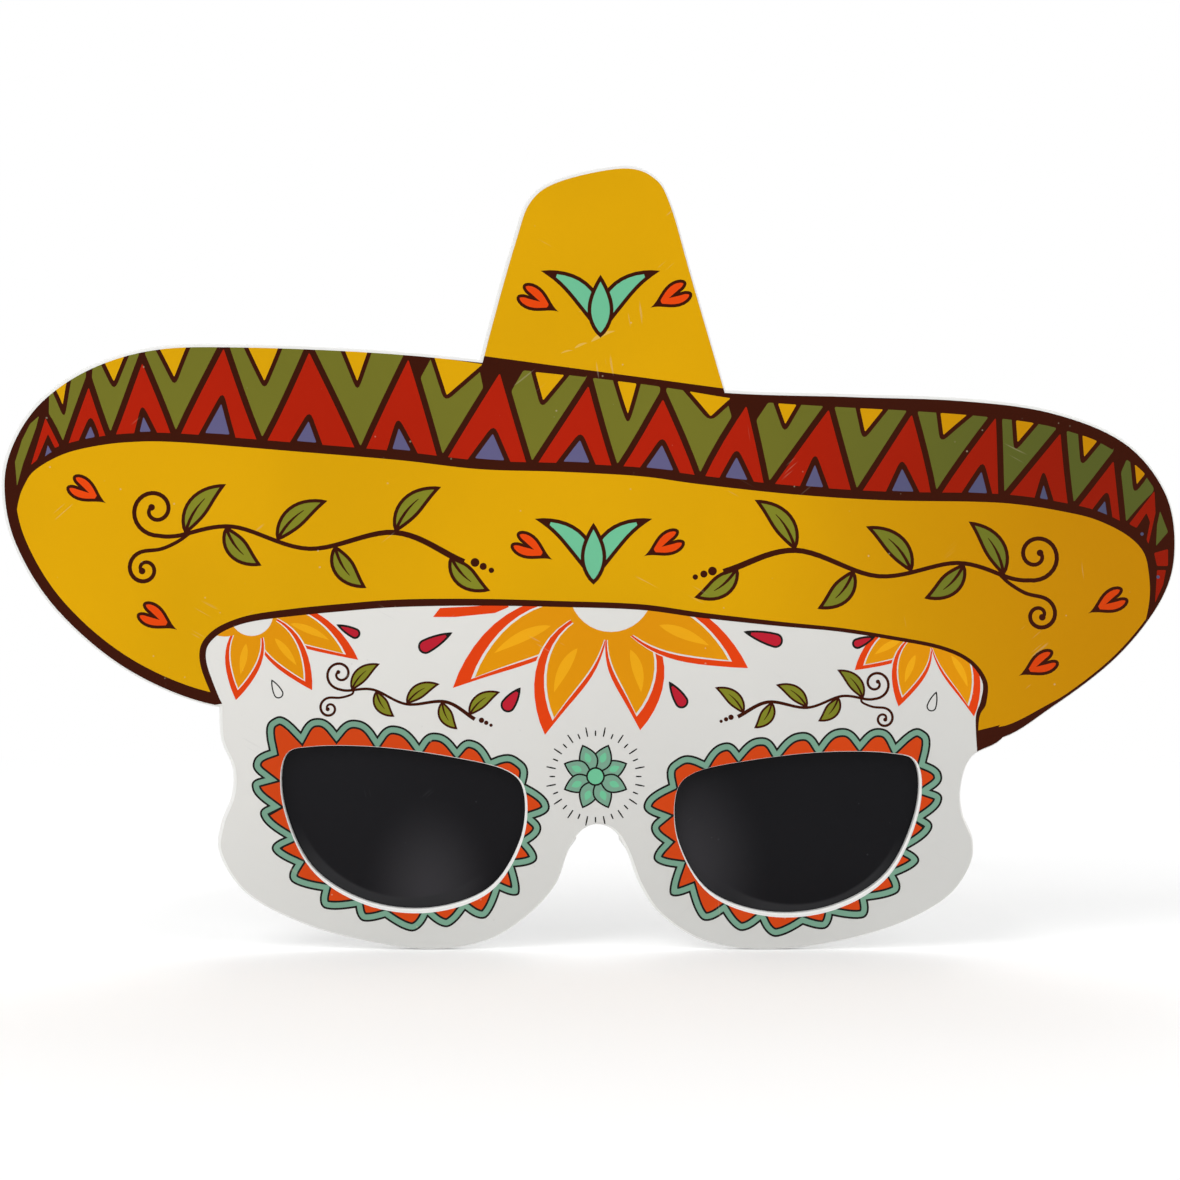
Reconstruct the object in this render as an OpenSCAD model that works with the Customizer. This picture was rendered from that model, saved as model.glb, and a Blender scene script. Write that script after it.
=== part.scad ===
// Party glasses. A flat moulded front panel in the outline of a wide hat over a half face carries a
// printed film. A sunglass frame with smoked lenses is pegged to its back, and two temples fold on
// small metal hinges.
// X runs across the front, with the wearer's left at +X. Y runs back to the ears. Z is up.
// Drawing frame: the panel's back face is y = 0, the middle between the eyes is x = 0, and the table
// that the glasses stand on is z = 0. place() then moves the origin to the middle of the footprint.

/* [Hat outline] */
// Width of the hat brim from tip to tip
brim_w = 235; // [225:1:245]
// Height of the brim from its lowest to its highest point
brim_h = 79.5; // [74:0.5:86]
// Height of the brim's lowest point above the table
brim_z = 41.6; // [40:0.2:44]
// Width of the crown at its foot, which the brim hides
crown_w = 54; // [46:1:58]
// Height of the crown from its foot to its top
crown_h = 51; // [44:1:60]
// Depth of the crown's foot below the brim's highest point
crown_sink = 15.2; // [13:0.2:18]

/* [Face outline] */
// Width of the face across the cheeks
face_w = 151; // [148:1:160]
// Height of the face up to its top edge, which the brim hides
face_h = 55; // [52:1:60]
// Height of the top of the nose cut above the table
nose_top = 25; // [23:0.2:26]
// Width of the nose cut across its round top
nose_round_w = 6.8; // [5:0.2:9]
// Width of the nose cut below its round top
nose_w = 11.8; // [10:0.2:14]
// Width of the nose cut where it starts to flare
nose_flare_w = 16.8; // [15:0.2:20]
// Sideways offset of the nose cut and the nose pads from the middle between the eyes
nose_offset = -0.4; // [-1:0.1:1]

/* [Panel and film] */
// Thickness of the moulded front panel
panel_t = 2; // [1.6:0.1:3]
// Thickness of the printed film
film_t = 0.15; // [0.1:0.05:0.3]
// Bare lip of panel around the outer edge of the film
film_lip = 0.5; // [0.3:0.1:1]
// Bare lip of panel around each eye opening
film_eye_lip = 0.3; // [0.2:0.1:0.8]
// Distance that the film lies off the middle of its place, towards the wearer's left
film_side = 0.2; // [0:0.05:0.2]
// Distance that the film lies below its place
film_drop = 0.2; // [0:0.05:0.2]

/* [Eye openings] */
// Width of one eye opening
eye_w = 49; // [45:0.2:50]
// Height of one eye opening
eye_h = 32.5; // [29:0.1:33]
// Distance between the middles of the two openings
eye_spacing = 79.2; // [78:0.2:82]
// Height of the middle of an opening above the table
eye_z = 23.9; // [23:0.1:25]
// Turn of the panel's two openings against the frame behind, in degrees, clockwise from the front
eye_turn = 0.65; // [0:0.05:0.7]

/* [Lenses] */
// Thickness of a lens
lens_t = 1.2; // [1:0.1:1.8]
// Overlap of the lens behind the edge of the eye opening
lens_lap = 1.2; // [0.8:0.1:1.4]
// Gap between a lens and the wall of its rebate
lens_gap = 0.2; // [0.1:0.05:0.3]

/* [Rear frame] */
// Width of the rim beyond the edge of the eye opening
rim_w = 3.8; // [3.6:0.1:4.4]
// Depth of the rims from front to back
rim_t = 4; // [3.2:0.1:5]
// Step of the rim's window in from the edge of the eye opening
window_step = 0.3; // [0.2:0.1:0.8]
// Height of the bridge over the nose
bridge_h = 8.5; // [7:0.5:10]
// Distance from the top of the nose cut up to the bridge's lower edge
bridge_rise = 2; // [1.5:0.1:3]
// Thickness of the bridge and of the plate that carries the nose pads
bridge_t = 3.2; // [2.6:0.1:4]
// Height of the end blocks that carry the hinges
lug_h = 9; // [8.6:0.1:10]
// Depth of the end blocks from the panel to the temple's front end
lug_t = 9; // [8.4:0.1:10]
// Radius of the pegs that join the rear frame to the panel
peg_r = 0.8; // [0.6:0.05:0.95]
// Length of the pegs
peg_l = 1.2; // [0.8:0.1:1.4]
// Gap between a peg and the wall and floor of its socket
peg_gap = 0.1; // [0.05:0.05:0.15]

/* [Nose pads] */
// Radius of the rounded edges of a nose pad
pad_r = 1.4; // [1.2:0.1:1.7]
// Reach of the pads behind the panel
pad_reach = 11.5; // [9:0.5:14]
// Width between the pads at their front upper ends
pad_front_gap = 8.3; // [7.5:0.1:9]
// Width between the pads at their rear upper ends
pad_rear_gap = 13; // [11:0.5:16]
// Height of the pads
pad_h = 9.6; // [8:0.2:11]

/* [Hinges] */
// Height of a hinge
hinge_h = 8; // [7.4:0.1:8.4]
// Distance from the top of the eye opening up to the middle of the hinge
hinge_rise = 5; // [4.8:0.1:6]
// Radius of the knuckles
knuckle_r = 1.3; // [1.2:0.05:1.5]
// Gap between the three knuckles along the hinge axis
knuckle_gap = 0.1; // [0.05:0.05:0.2]
// Thickness of the hinge leaves
leaf_t = 0.8; // [0.6:0.05:1]
// Length of the hinge leaves from the knuckle
leaf_l = 9; // [8.6:0.2:10]
// Radius of the hinge screw
screw_r = 0.7; // [0.6:0.05:0.75]
// Gap between the hinge screw and the knuckles' bores
screw_gap = 0.05; // [0.03:0.01:0.08]
// Radius of the screw's head
screw_head_r = 1.2; // [1.1:0.05:1.3]
// Thickness of the screw's head
screw_head_t = 0.5; // [0.4:0.05:0.6]
// Radius of the leaf rivets
rivet_r = 0.6; // [0.5:0.05:0.7]
// Radius of the rivets' heads
rivet_head_r = 1.1; // [1:0.05:1.3]
// Thickness of the rivets' heads
rivet_head_t = 0.4; // [0.3:0.05:0.5]
// Depth of the rivets in the plastic under the leaf
rivet_grip = 2.4; // [1.8:0.1:2.6]
// Gap between a rivet and the wall and floor of its hole
rivet_gap = 0.05; // [0.03:0.01:0.1]

/* [Temples] */
// Width over the outer faces of the two open temples
temple_span = 147; // [145:0.5:150]
// Thickness of a temple
temple_t = 3.6; // [3:0.1:4.2]
// Height of a temple at its slimmest
temple_waist_h = 6.4; // [5.6:0.1:7.5]
// Radius of the round end of a temple
tip_r = 4.5; // [4:0.1:5]
// Length of a temple from its front end to the ear bend
temple_l = 79; // [70:1:86]
// Radius of the ear bend
bend_r = 25; // [18:1:32]
// Angle of the ear bend below the straight part
bend_angle = 50; // [42:1:58]
// Gap between a temple's front end and the end block that stops it
stop_gap = 0.2; // [0.1:0.05:0.4]

/* [Hidden] */
$fn = 48;

// Colours of the moulded plastic, the film, the lenses and the metal
white_plastic = [0.93, 0.93, 0.92];
hat_yellow = [0.88, 0.67, 0.02];
smoke = [0.13, 0.13, 0.14];
steel = [0.72, 0.72, 0.74];

// Curve steps between two outline points
steps = 8;
// A little extra length on every cut, so that it passes its face
over = 0.5;

// Outline points are drawn at these sizes, in mm, and stretched to the sizes set above
drawn_brim = [235, 79.5];
drawn_crown = [54, 51];
drawn_face = [151, 55];
drawn_eye = [47.8, 32.5];

// Brim, from the left tip over the top; z from the brim's lowest point
brim_drawn = [
    [-119.7, 51], [-117.8, 60], [-112, 68.5], [-102, 75.2], [-89, 79], [-72, 79.5], [-45, 78.4],
    [-20, 76], [20, 70.8], [50, 69.6], [72, 68.8], [90, 66.4], [104.8, 60.4], [113.2, 50.4],
    [115.3, 39], [112.7, 28.6], [103.8, 17], [90.7, 6.8], [79, 0.2], [66, 3], [0, 7], [-60, 7.4],
    [-77, 7], [-94.6, 14.1], [-109, 26.2], [-117.3, 39.4]
];

// Crown, from the left foot over the top; z from the crown's foot
crown_drawn = [
    [-27, 0], [-22.2, 19], [-17.4, 36], [-14.3, 44.2], [-8.2, 48.4], [4.5, 51], [11.1, 48.9],
    [14.5, 43.1], [18.7, 28.5], [27, 0]
];

// Face, down the left side to the nose and from the nose up the right side; z from the table
face_left_drawn = [
    [-76, 55], [-75.9, 43], [-73.5, 36.5], [-73.6, 31], [-75.8, 25], [-76, 19],
    [-70.5, 11], [-59, 5], [-47, 1.7], [-34, 0], [-22.5, 1.8], [-14.2, 7]
];
face_right_drawn = [
    [12.2, 7], [20.5, 1.8], [32, 0], [45, 1.1], [58.6, 4.6], [69.1, 10.1], [74, 16.5], [74.7, 22],
    [72.6, 27.5], [72.4, 33], [74.6, 38.6], [81.2, 42.8], [86, 55]
];

// Eye opening of the wearer's left eye, from its middle, counterclockwise from the outer top corner
eye_drawn = [
    [23, 13.8], [17.5, 16], [4.5, 16], [-9.5, 14.2], [-20.3, 11.6], [-23.8, 7], [-23, -2.5],
    [-17, -12], [-5.5, -16.1], [7, -14.7], [17.5, -8], [23, 4]
];
// Numbers of the eye outline's points that have a peg beside them
peg_points = [2, 8, 11];

function catmull(a, b, c, d, t) =
    (2 * b + (c - a) * t + (2 * a - 5 * b + 4 * c - d) * t * t + (3 * b - a - 3 * c + d) * t * t * t) / 2;

// A smooth closed curve through the points
function closed_curve(p) = let (n = len(p))
    [for (i = [0:n - 1]) for (k = [0:steps - 1])
        catmull(p[(i + n - 1) % n], p[i], p[(i + 1) % n], p[(i + 2) % n], k / steps)];

// A smooth curve through the points that runs straight at its two ends
function open_curve(p) = let (n = len(p), q = concat([2 * p[0] - p[1]], p, [2 * p[n - 1] - p[n - 2]]))
    concat(
        [for (i = [0:n - 2]) for (k = [0:steps - 1]) catmull(q[i], q[i + 1], q[i + 2], q[i + 3], k / steps)],
        [p[n - 1]]
    );

function stretch(p, from, to) = [for (q = p) [q.x * to.x / from.x, q.y * to.y / from.y]];

function shift(p, by) = [for (q = p) q + by];

// An outline moved outward by d along its normals
function grow(p, d) = let (n = len(p))
    [for (i = [0:n - 1]) let (t = p[(i + 1) % n] - p[(i + n - 1) % n]) p[i] + d * [t.y, -t.x] / norm(t)];

// The nose cut: depths below its top, and its half widths there
nose_cut_drop = [0, 1.4, 5.5, 12];
nose_cut_half = [0, nose_round_w / 2, nose_w / 2, nose_flare_w / 2];
nose_points = concat(
    [for (i = [3:-1:0]) [nose_offset - nose_cut_half[i], nose_top - nose_cut_drop[i]]],
    [for (i = [1:3]) [nose_offset + nose_cut_half[i], nose_top - nose_cut_drop[i]]]
);

brim_curve = shift(closed_curve(stretch(brim_drawn, drawn_brim, [brim_w, brim_h])), [0, brim_z]);
crown_z = brim_z + brim_h - crown_sink;
crown_curve = shift(open_curve(stretch(crown_drawn, drawn_crown, [crown_w, crown_h])), [0, crown_z]);
face_size = [face_w, face_h];
face_curve = open_curve(concat(
    stretch(face_left_drawn, drawn_face, face_size), nose_points,
    stretch(face_right_drawn, drawn_face, face_size)
));
eye_curve = shift(closed_curve(stretch(eye_drawn, drawn_eye, [eye_w, eye_h])), [eye_spacing / 2, eye_z]);
peg_ring = grow(eye_curve, (lens_lap + lens_gap + rim_w) / 2);

// The hinge: its axis stands beside the temple's inner face, in the plane of the end block's back
temple_x = temple_span / 2;
temple_in_x = temple_x - temple_t;
// Gap between the knuckles and the temple's inner face
leaf_clear = 0.4;
axis_x = temple_in_x - knuckle_r - leaf_clear;
axis_y = lug_t;
hinge_z = eye_z + eye_h / 2 + hinge_rise;
// Gap between the knuckles and the end block's seat, and beside the leaves and the stop
seat_gap = 0.5;
side_gap = 0.2;
seat_y = axis_y - knuckle_r - seat_gap;
knuckle_h = (hinge_h - 2 * knuckle_gap) / 3;
hinge_foot_z = hinge_z - hinge_h / 2;
bore_r = screw_r + screw_gap;
leaf_in_x = axis_x - knuckle_r - side_gap - leaf_l;
// Where the neck of the temple's leaf leaves its knuckle, in degrees round the hinge axis
neck_from = 10;
neck_to = 120;
// The two rivets of a leaf: their distance, and from the second to the leaf's far end
rivet_pitch = 4;
rivet_inset = 2.6;
frame_rivet_x = [leaf_in_x + rivet_inset, leaf_in_x + rivet_inset + rivet_pitch];
temple_leaf_y = axis_y + knuckle_r + leaf_clear + side_gap;
temple_leaf_end = temple_leaf_y + leaf_l;
temple_rivet_y = [temple_leaf_end - rivet_inset - rivet_pitch, temple_leaf_end - rivet_inset];

// The temple's middle line: straight, round the ear bend, and down until the tip meets the table
arm_y = axis_y + stop_gap;
bend_drop = bend_r * (1 - cos(bend_angle));
ear_l = (hinge_z - tip_r - bend_drop) / sin(bend_angle);
bend_end = [arm_y + temple_l + bend_r * sin(bend_angle), hinge_z - bend_drop];
tip = bend_end + ear_l * [cos(bend_angle), -sin(bend_angle)];
// Points along each of the three stretches of the middle line
arm_steps = 10;
// Place of the slimmest point, as a share of the way from the front end to the tip
waist_at = 0.55;

// The origin: middle of the footprint, on the table
front_y = -panel_t - film_t;
back_y = tip.x + tip_r;
brim_xs = [for (p = brim_curve) p.x];
origin = [(min(brim_xs) + max(brim_xs)) / 2, (front_y + back_y) / 2, 0];

module place() {
    translate(-origin) children();
}

// A flat piece that stands upright, from y0 back to y0 + t
module slab(y0, t) {
    translate([0, y0 + t, 0]) rotate([90, 0, 0]) linear_extrude(t) children();
}

// A round bar along Y from y0 back to y0 + l
module bar_y(x, y0, z, r, l) {
    translate([x, y0 + l, z]) rotate([90, 0, 0]) cylinder(r = r, h = l);
}

// A round bar along X from x0 out to x0 + l
module bar_x(x0, y, z, r, l) {
    translate([x0, y, z]) rotate([0, 90, 0]) cylinder(r = r, h = l);
}

module mirrored() {
    mirror([1, 0, 0]) children();
}

module both() {
    children();
    mirrored() children();
}

module outline_slab(y0, t) {
    slab(y0, t) polygon(brim_curve);
    slab(y0, t) polygon(crown_curve);
    slab(y0, t) polygon(face_curve);
}

module eye(d = 0) {
    polygon(grow(eye_curve, d));
}

// The panel's two eye openings, turned together about the middle between the eyes
module openings(d = 0) {
    translate([0, eye_z]) rotate(-eye_turn) translate([0, -eye_z]) both() eye(d);
}

module peg_bars(r, y0, l) {
    for (i = peg_points)
        bar_y(peg_ring[i * steps].x, y0, peg_ring[i * steps].y, r, l);
}

module front_panel() {
    color(white_plastic) place() difference() {
        outline_slab(-panel_t, panel_t);
        slab(-panel_t - over, panel_t + 2 * over) openings();
        both() peg_bars(peg_r + peg_gap, -peg_l - peg_gap, peg_l + peg_gap + over);
    }
}

module print_film() {
    color(hat_yellow) place() slab(front_y, film_t) translate([film_side, -film_drop]) difference() {
        offset(delta = -film_lip) {
            polygon(brim_curve);
            polygon(crown_curve);
            polygon(face_curve);
        }
        openings(film_eye_lip);
    }
}

// Plate behind the nose: the bridge above the cut and a web on each side that carries a pad
module nose_plate() {
    reach = eye_spacing / 2 - eye_w / 2;
    foot = nose_top - nose_cut_drop[3];
    slab(0, bridge_t) difference() {
        translate([-reach, foot]) square([2 * reach, nose_top + bridge_rise + bridge_h - foot]);
        polygon(concat(
            [[nose_offset - reach, foot - over]],
            [for (p = nose_points) p + [sign(p.x - nose_offset) * -film_lip, bridge_rise]],
            [[nose_offset + reach, foot - over]]
        ));
    }
}

// One nose pad: a rounded sheet from the plate back and outward along the side of the nose
module nose_pad() {
    front_x = pad_front_gap / 2 + pad_r;
    rear_x = pad_rear_gap / 2 + pad_r;
    top = nose_top - 2 * pad_r;
    low = top - pad_h + 2 * pad_r;
    lean = (nose_flare_w - nose_w) / 2 + 2 * pad_r;
    hull() {
        translate([front_x, pad_r, top]) sphere(pad_r, $fn = 24);
        translate([front_x + lean, pad_r, low]) sphere(pad_r, $fn = 24);
        translate([rear_x, pad_reach - pad_r, top]) sphere(pad_r, $fn = 24);
        translate([rear_x + lean, pad_reach - pad_r, low]) sphere(pad_r, $fn = 24);
    }
}

// End block: a seat for the hinge leaf and, outside it, the stop for the temple
module lug() {
    low = hinge_z - lug_h / 2;
    in_x = leaf_in_x - side_gap;
    stop_x = axis_x + knuckle_r + side_gap;
    translate([in_x, 0, low]) cube([temple_x - in_x, seat_y, lug_h]);
    translate([stop_x, 0, low]) cube([temple_x - stop_x, lug_t, lug_h]);
}

module frame_rivet_bars(r, y0, l) {
    for (x = frame_rivet_x)
        bar_y(x, y0, hinge_z, r, l);
}

module rear_frame() {
    color(white_plastic) place() difference() {
        union() {
            both() slab(0, rim_t) eye(rim_w);
            nose_plate();
            both() lug();
            translate([nose_offset, 0, 0]) both() nose_pad();
            both() peg_bars(peg_r, -peg_l, peg_l + over);
        }
        both() slab(-peg_l, lug_t + peg_l + over) eye(-window_step);
        both() slab(-over, lens_t + over) eye(lens_lap + lens_gap);
        both() frame_rivet_bars(rivet_r + rivet_gap, seat_y - rivet_grip - rivet_gap, rivet_grip + over);
    }
}

module lens() {
    color(smoke) slab(0, lens_t) eye(lens_lap);
}

// Half height of a temple at the share s of its length, slimmest at the waist
function arm_half(s) = let (
        end_h = s < waist_at ? lug_h / 2 : tip_r,
        away = s < waist_at ? 1 - s / waist_at : (s - waist_at) / (1 - waist_at)
    ) temple_waist_h / 2 + (end_h - temple_waist_h / 2) * (1 - cos(90 * away));

arm_line = concat(
    [for (i = [0:arm_steps]) [arm_y + temple_l * i / arm_steps, hinge_z, 0]],
    [for (i = [1:arm_steps]) let (a = bend_angle * i / arm_steps)
        [arm_y + temple_l + bend_r * sin(a), hinge_z - bend_r * (1 - cos(a)), a]],
    [for (i = [1:arm_steps]) let (p = bend_end + (tip - bend_end) * i / arm_steps) [p.x, p.y, bend_angle]]
);
arm_last = len(arm_line) - 1;

function arm_edge(i, up) = let (p = arm_line[i], h = arm_half(i / arm_last))
    [p.x + up * h * sin(p.z), p.y + up * h * cos(p.z)];

module temple() {
    color(white_plastic) difference() {
        union() {
            translate([temple_in_x, 0, 0]) rotate([90, 0, 90]) linear_extrude(temple_t) polygon(concat(
                [for (i = [0:arm_last]) arm_edge(i, 1)],
                [for (i = [arm_last:-1:0]) arm_edge(i, -1)]
            ));
            bar_x(temple_in_x, tip.x, tip.y, tip_r, temple_t);
        }
        temple_rivet_bars(rivet_r + rivet_gap, temple_in_x - over, rivet_grip + rivet_gap + over);
    }
}

module temple_rivet_bars(r, x0, l) {
    for (y = temple_rivet_y)
        bar_x(x0, y, hinge_z, r, l);
}

module knuckle(level, r, extra = 0) {
    low = hinge_foot_z + level * (knuckle_h + knuckle_gap);
    translate([axis_x, axis_y, low - extra]) cylinder(r = r, h = knuckle_h + 2 * extra);
}

// Leaf on the end block's seat, with the upper and lower knuckles
module frame_hinge() {
    leaf_end = axis_x - knuckle_r - side_gap;
    color(steel) difference() {
        union() {
            translate([leaf_in_x, seat_y, hinge_foot_z]) cube([leaf_l, leaf_t, hinge_h]);
            for (level = [0, 2]) {
                knuckle(level, knuckle_r);
                translate([leaf_end - over, seat_y, hinge_foot_z + level * (knuckle_h + knuckle_gap)])
                    cube([over + side_gap + 2 * knuckle_r, axis_y - seat_y, knuckle_h]);
            }
        }
        for (level = [0, 2])
            knuckle(level, bore_r, over);
        frame_rivet_bars(rivet_r + rivet_gap, seat_y - over, leaf_t + 2 * over);
    }
}

// Leaf on the temple's inner face, with the middle knuckle
module temple_hinge() {
    side_x = temple_in_x - axis_x;
    back = temple_leaf_y - axis_y + leaf_t;
    neck = [
        knuckle_r * [cos(neck_from), sin(neck_from)], [side_x, knuckle_r], [side_x, back],
        [side_x - leaf_t, back], knuckle_r * [cos(neck_to), sin(neck_to)]
    ];
    low = hinge_foot_z + knuckle_h + knuckle_gap;
    color(steel) difference() {
        union() {
            translate([temple_in_x - leaf_t, temple_leaf_y, hinge_foot_z]) cube([leaf_t, leaf_l, hinge_h]);
            knuckle(1, knuckle_r);
            translate([axis_x, axis_y, low]) linear_extrude(knuckle_h) polygon(neck);
        }
        knuckle(1, bore_r, over);
        temple_rivet_bars(rivet_r + rivet_gap, temple_in_x - leaf_t - over, leaf_t + 2 * over);
    }
}

module hinge_screw() {
    color(steel) translate([axis_x, axis_y, hinge_foot_z]) {
        cylinder(r = screw_r, h = hinge_h);
        translate([0, 0, hinge_h]) cylinder(r = screw_head_r, h = screw_head_t);
    }
}

module frame_rivets() {
    color(steel) {
        frame_rivet_bars(rivet_r, seat_y - rivet_grip, rivet_grip + leaf_t);
        frame_rivet_bars(rivet_head_r, seat_y + leaf_t, rivet_head_t);
    }
}

module temple_rivets() {
    color(steel) {
        temple_rivet_bars(rivet_r, temple_in_x - leaf_t, leaf_t + rivet_grip);
        temple_rivet_bars(rivet_head_r, temple_in_x - leaf_t - rivet_head_t, rivet_head_t);
    }
}

front_panel();
print_film();
rear_frame();
place() lens();  // left_lens
place() mirrored() lens();  // right_lens
place() temple();  // left_temple
place() mirrored() temple();  // right_temple
place() frame_hinge();  // left_frame_hinge
place() mirrored() frame_hinge();  // right_frame_hinge
place() temple_hinge();  // left_temple_hinge
place() mirrored() temple_hinge();  // right_temple_hinge
place() hinge_screw();  // left_hinge_screw
place() mirrored() hinge_screw();  // right_hinge_screw
place() frame_rivets();  // left_frame_rivets
place() mirrored() frame_rivets();  // right_frame_rivets
place() temple_rivets();  // left_temple_rivets
place() mirrored() temple_rivets();  // right_temple_rivets
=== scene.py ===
"""Party glasses: a flat printed panel in the outline of a wide hat over a half face, with smoked
lenses in a frame behind it and two folding temples.

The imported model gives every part's size and place. The print is laid out on the film's front as
plane shapes in mm, painted one over the other, and each ink becomes a thin layer of its own.
Around it come soft-edged copies of the moulded parts, the hinges' hardware and the studio.
"""

from __future__ import annotations

import logging
import math
from collections.abc import Iterator, Sequence
from dataclasses import dataclass, field
from enum import Enum

import bmesh
import bpy
import numpy as np
from mathutils import Matrix, Vector
from mathutils.geometry import delaunay_2d_cdt


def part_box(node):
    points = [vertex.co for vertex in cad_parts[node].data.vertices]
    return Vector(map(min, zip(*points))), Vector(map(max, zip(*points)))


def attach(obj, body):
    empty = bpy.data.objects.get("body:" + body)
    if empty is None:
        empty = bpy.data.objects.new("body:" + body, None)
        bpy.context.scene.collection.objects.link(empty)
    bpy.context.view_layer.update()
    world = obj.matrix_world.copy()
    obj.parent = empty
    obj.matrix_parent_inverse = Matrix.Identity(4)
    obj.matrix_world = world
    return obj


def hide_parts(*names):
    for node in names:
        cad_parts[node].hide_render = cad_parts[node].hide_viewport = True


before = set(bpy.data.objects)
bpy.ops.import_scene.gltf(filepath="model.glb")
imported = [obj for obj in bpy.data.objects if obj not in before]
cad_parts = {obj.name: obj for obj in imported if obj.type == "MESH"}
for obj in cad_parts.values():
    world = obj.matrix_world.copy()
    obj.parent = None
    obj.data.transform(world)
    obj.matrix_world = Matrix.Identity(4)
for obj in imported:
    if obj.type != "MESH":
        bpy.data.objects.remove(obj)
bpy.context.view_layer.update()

MM = 0.001
SHARP_DEG = 40.0
MERGE_MM = 1e-3
Plane = np.ndarray
Point = tuple[float, float]
Colour = tuple[float, float, float]
BMesh = bmesh.types.BMesh
Mesh = bpy.types.Mesh
Piece = bpy.types.Object
Material = bpy.types.Material
Node = bpy.types.Node
Socket = bpy.types.NodeSocket
log = logging.getLogger("party_glasses")


class Axis(Enum):
    """The row axis that a flat part is thin along, with the two axes of its plane."""

    X = (0, 1, 2)
    Y = (1, 0, 2)

    def point(self, across: Sequence[float], depth: float) -> Vector:
        """Point in space from a point of the plane.

        Args:
            across: The plane point in mm.
            depth: Its place along the thin axis in mm.

        Returns:
            The point in metres.
        """
        made = Vector()
        for axis, value in zip(self.value, (depth, *across)):
            made[axis] = value * MM
        return made


class Side(Enum):
    """The wearer's side that a part is on, with the sign of its X."""

    LEFT = 1
    RIGHT = -1

    def of(self, part: str) -> str:
        """Name of this side's own part."""
        return f"{self.name.lower()}_{part}"


def through(a: Plane, b: Plane, c: Plane, d: Plane, t: float | Plane) -> Plane:
    """Point at a share t of the way from b to c, on the smooth curve through all four."""
    return (2 * b + (c - a) * t + (2 * a - 5 * b + 4 * c - d) * t**2 + (3 * b - a - 3 * c + d) * t**3) / 2


def curve(points: Sequence[Point], steps: int = 8) -> Plane:
    """Smooth open curve through points.

    Args:
        points: Points that it passes through, in order.
        steps: Pieces between two points.

    Returns:
        The curve's points, one row each.
    """
    p = np.array(points, float)
    q = np.vstack([2 * p[0] - p[1], p, 2 * p[-1] - p[-2]])
    t = np.linspace(0, 1, steps, endpoint=False)[:, None]
    return np.vstack([*(through(*four, t) for four in zip(q, q[1:], q[2:], q[3:])), p[-1:]])


def signed_area(loop: Plane) -> float:
    """Area of a closed outline, positive where it runs counterclockwise."""
    x, y = loop[:, 0], loop[:, 1]
    return float(np.sum(x * np.roll(y, -1) - np.roll(x, -1) * y) / 2)


def counterclockwise(loop: Plane) -> Plane:
    """The same outline, running counterclockwise."""
    return loop if signed_area(loop) > 0 else loop[::-1]


def thinned(loop: Plane, least: float) -> Plane:
    """Leave out points that crowd their neighbour.

    Args:
        loop: A closed outline.
        least: Least distance from one point to the next.

    Returns:
        The outline without them.
    """
    kept = [loop[0]]
    for p in loop[1:]:
        if np.linalg.norm(p - kept[-1]) >= least:
            kept.append(p)
    if len(kept) > 3 and np.linalg.norm(kept[-1] - kept[0]) < least:
        kept.pop()
    return np.array(kept)


def directions(points: Plane, closed: bool) -> tuple[Plane, Plane]:
    """Unit directions of the lines before and after each point.

    Args:
        points: The line's points.
        closed: Whether it is a closed outline.

    Returns:
        The directions before and the directions after the points.
    """
    after = np.roll(points, -1, 0) - points
    if not closed:
        after[-1] = after[-2]
    after = after / np.maximum(np.linalg.norm(after, axis=1, keepdims=True), 1e-9)
    before = np.roll(after, 1, 0)
    if not closed:
        before[0] = after[0]
    return before, after


def side_steps(points: Plane, closed: bool, reach: float = 4.0) -> Plane:
    """Steps that move each point one unit to the left of both lines beside it.

    Args:
        points: The line's points.
        closed: Whether it is a closed outline.
        reach: Longest step at a sharp corner.

    Returns:
        One step for each point.
    """
    before, after = directions(points, closed)
    left = np.stack([-(before[:, 1] + after[:, 1]), before[:, 0] + after[:, 0]], 1)
    turn = 1 + np.sum(before * after, 1, keepdims=True)
    steps = left / np.maximum(turn, 1e-6)
    length = np.linalg.norm(steps, axis=1, keepdims=True)
    return steps * np.minimum(1, reach / np.maximum(length, 1e-9))


def distance_to(points: Plane, line: Plane, closed: bool) -> np.ndarray:
    """Least distance of each point to a line.

    Args:
        points: The points.
        line: The line's own points.
        closed: Whether it is a closed outline.

    Returns:
        One distance for each point.
    """
    a = line if closed else line[:-1]
    b = np.roll(line, -1, 0) if closed else line[1:]
    along = b - a
    size = np.maximum(np.sum(along * along, 1), 1e-12)
    gap = points[:, None, :] - a[None, :, :]
    t = np.clip(np.sum(gap * along, 2) / size, 0, 1)
    nearest = gap - t[:, :, None] * along
    return np.sqrt(np.min(np.sum(nearest * nearest, 2), 1))


def shifted(points: Plane, by: float | np.ndarray, closed: bool = True) -> Plane:
    """A line moved sideways to its left, without the loops that tight bends would give.

    Args:
        points: The line, running counterclockwise where it is a closed outline.
        by: Distance, or one for each point; a closed outline shrinks where it is positive.
        closed: Whether it is a closed outline.

    Returns:
        The moved line's points, perhaps fewer than before.
    """
    far = np.broadcast_to(np.asarray(by, float), (len(points),))
    moved = points + side_steps(points, closed) * far[:, None]
    clear = distance_to(moved, points, closed) >= np.abs(far) * 0.96 - 1e-6
    return moved[clear]


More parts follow.
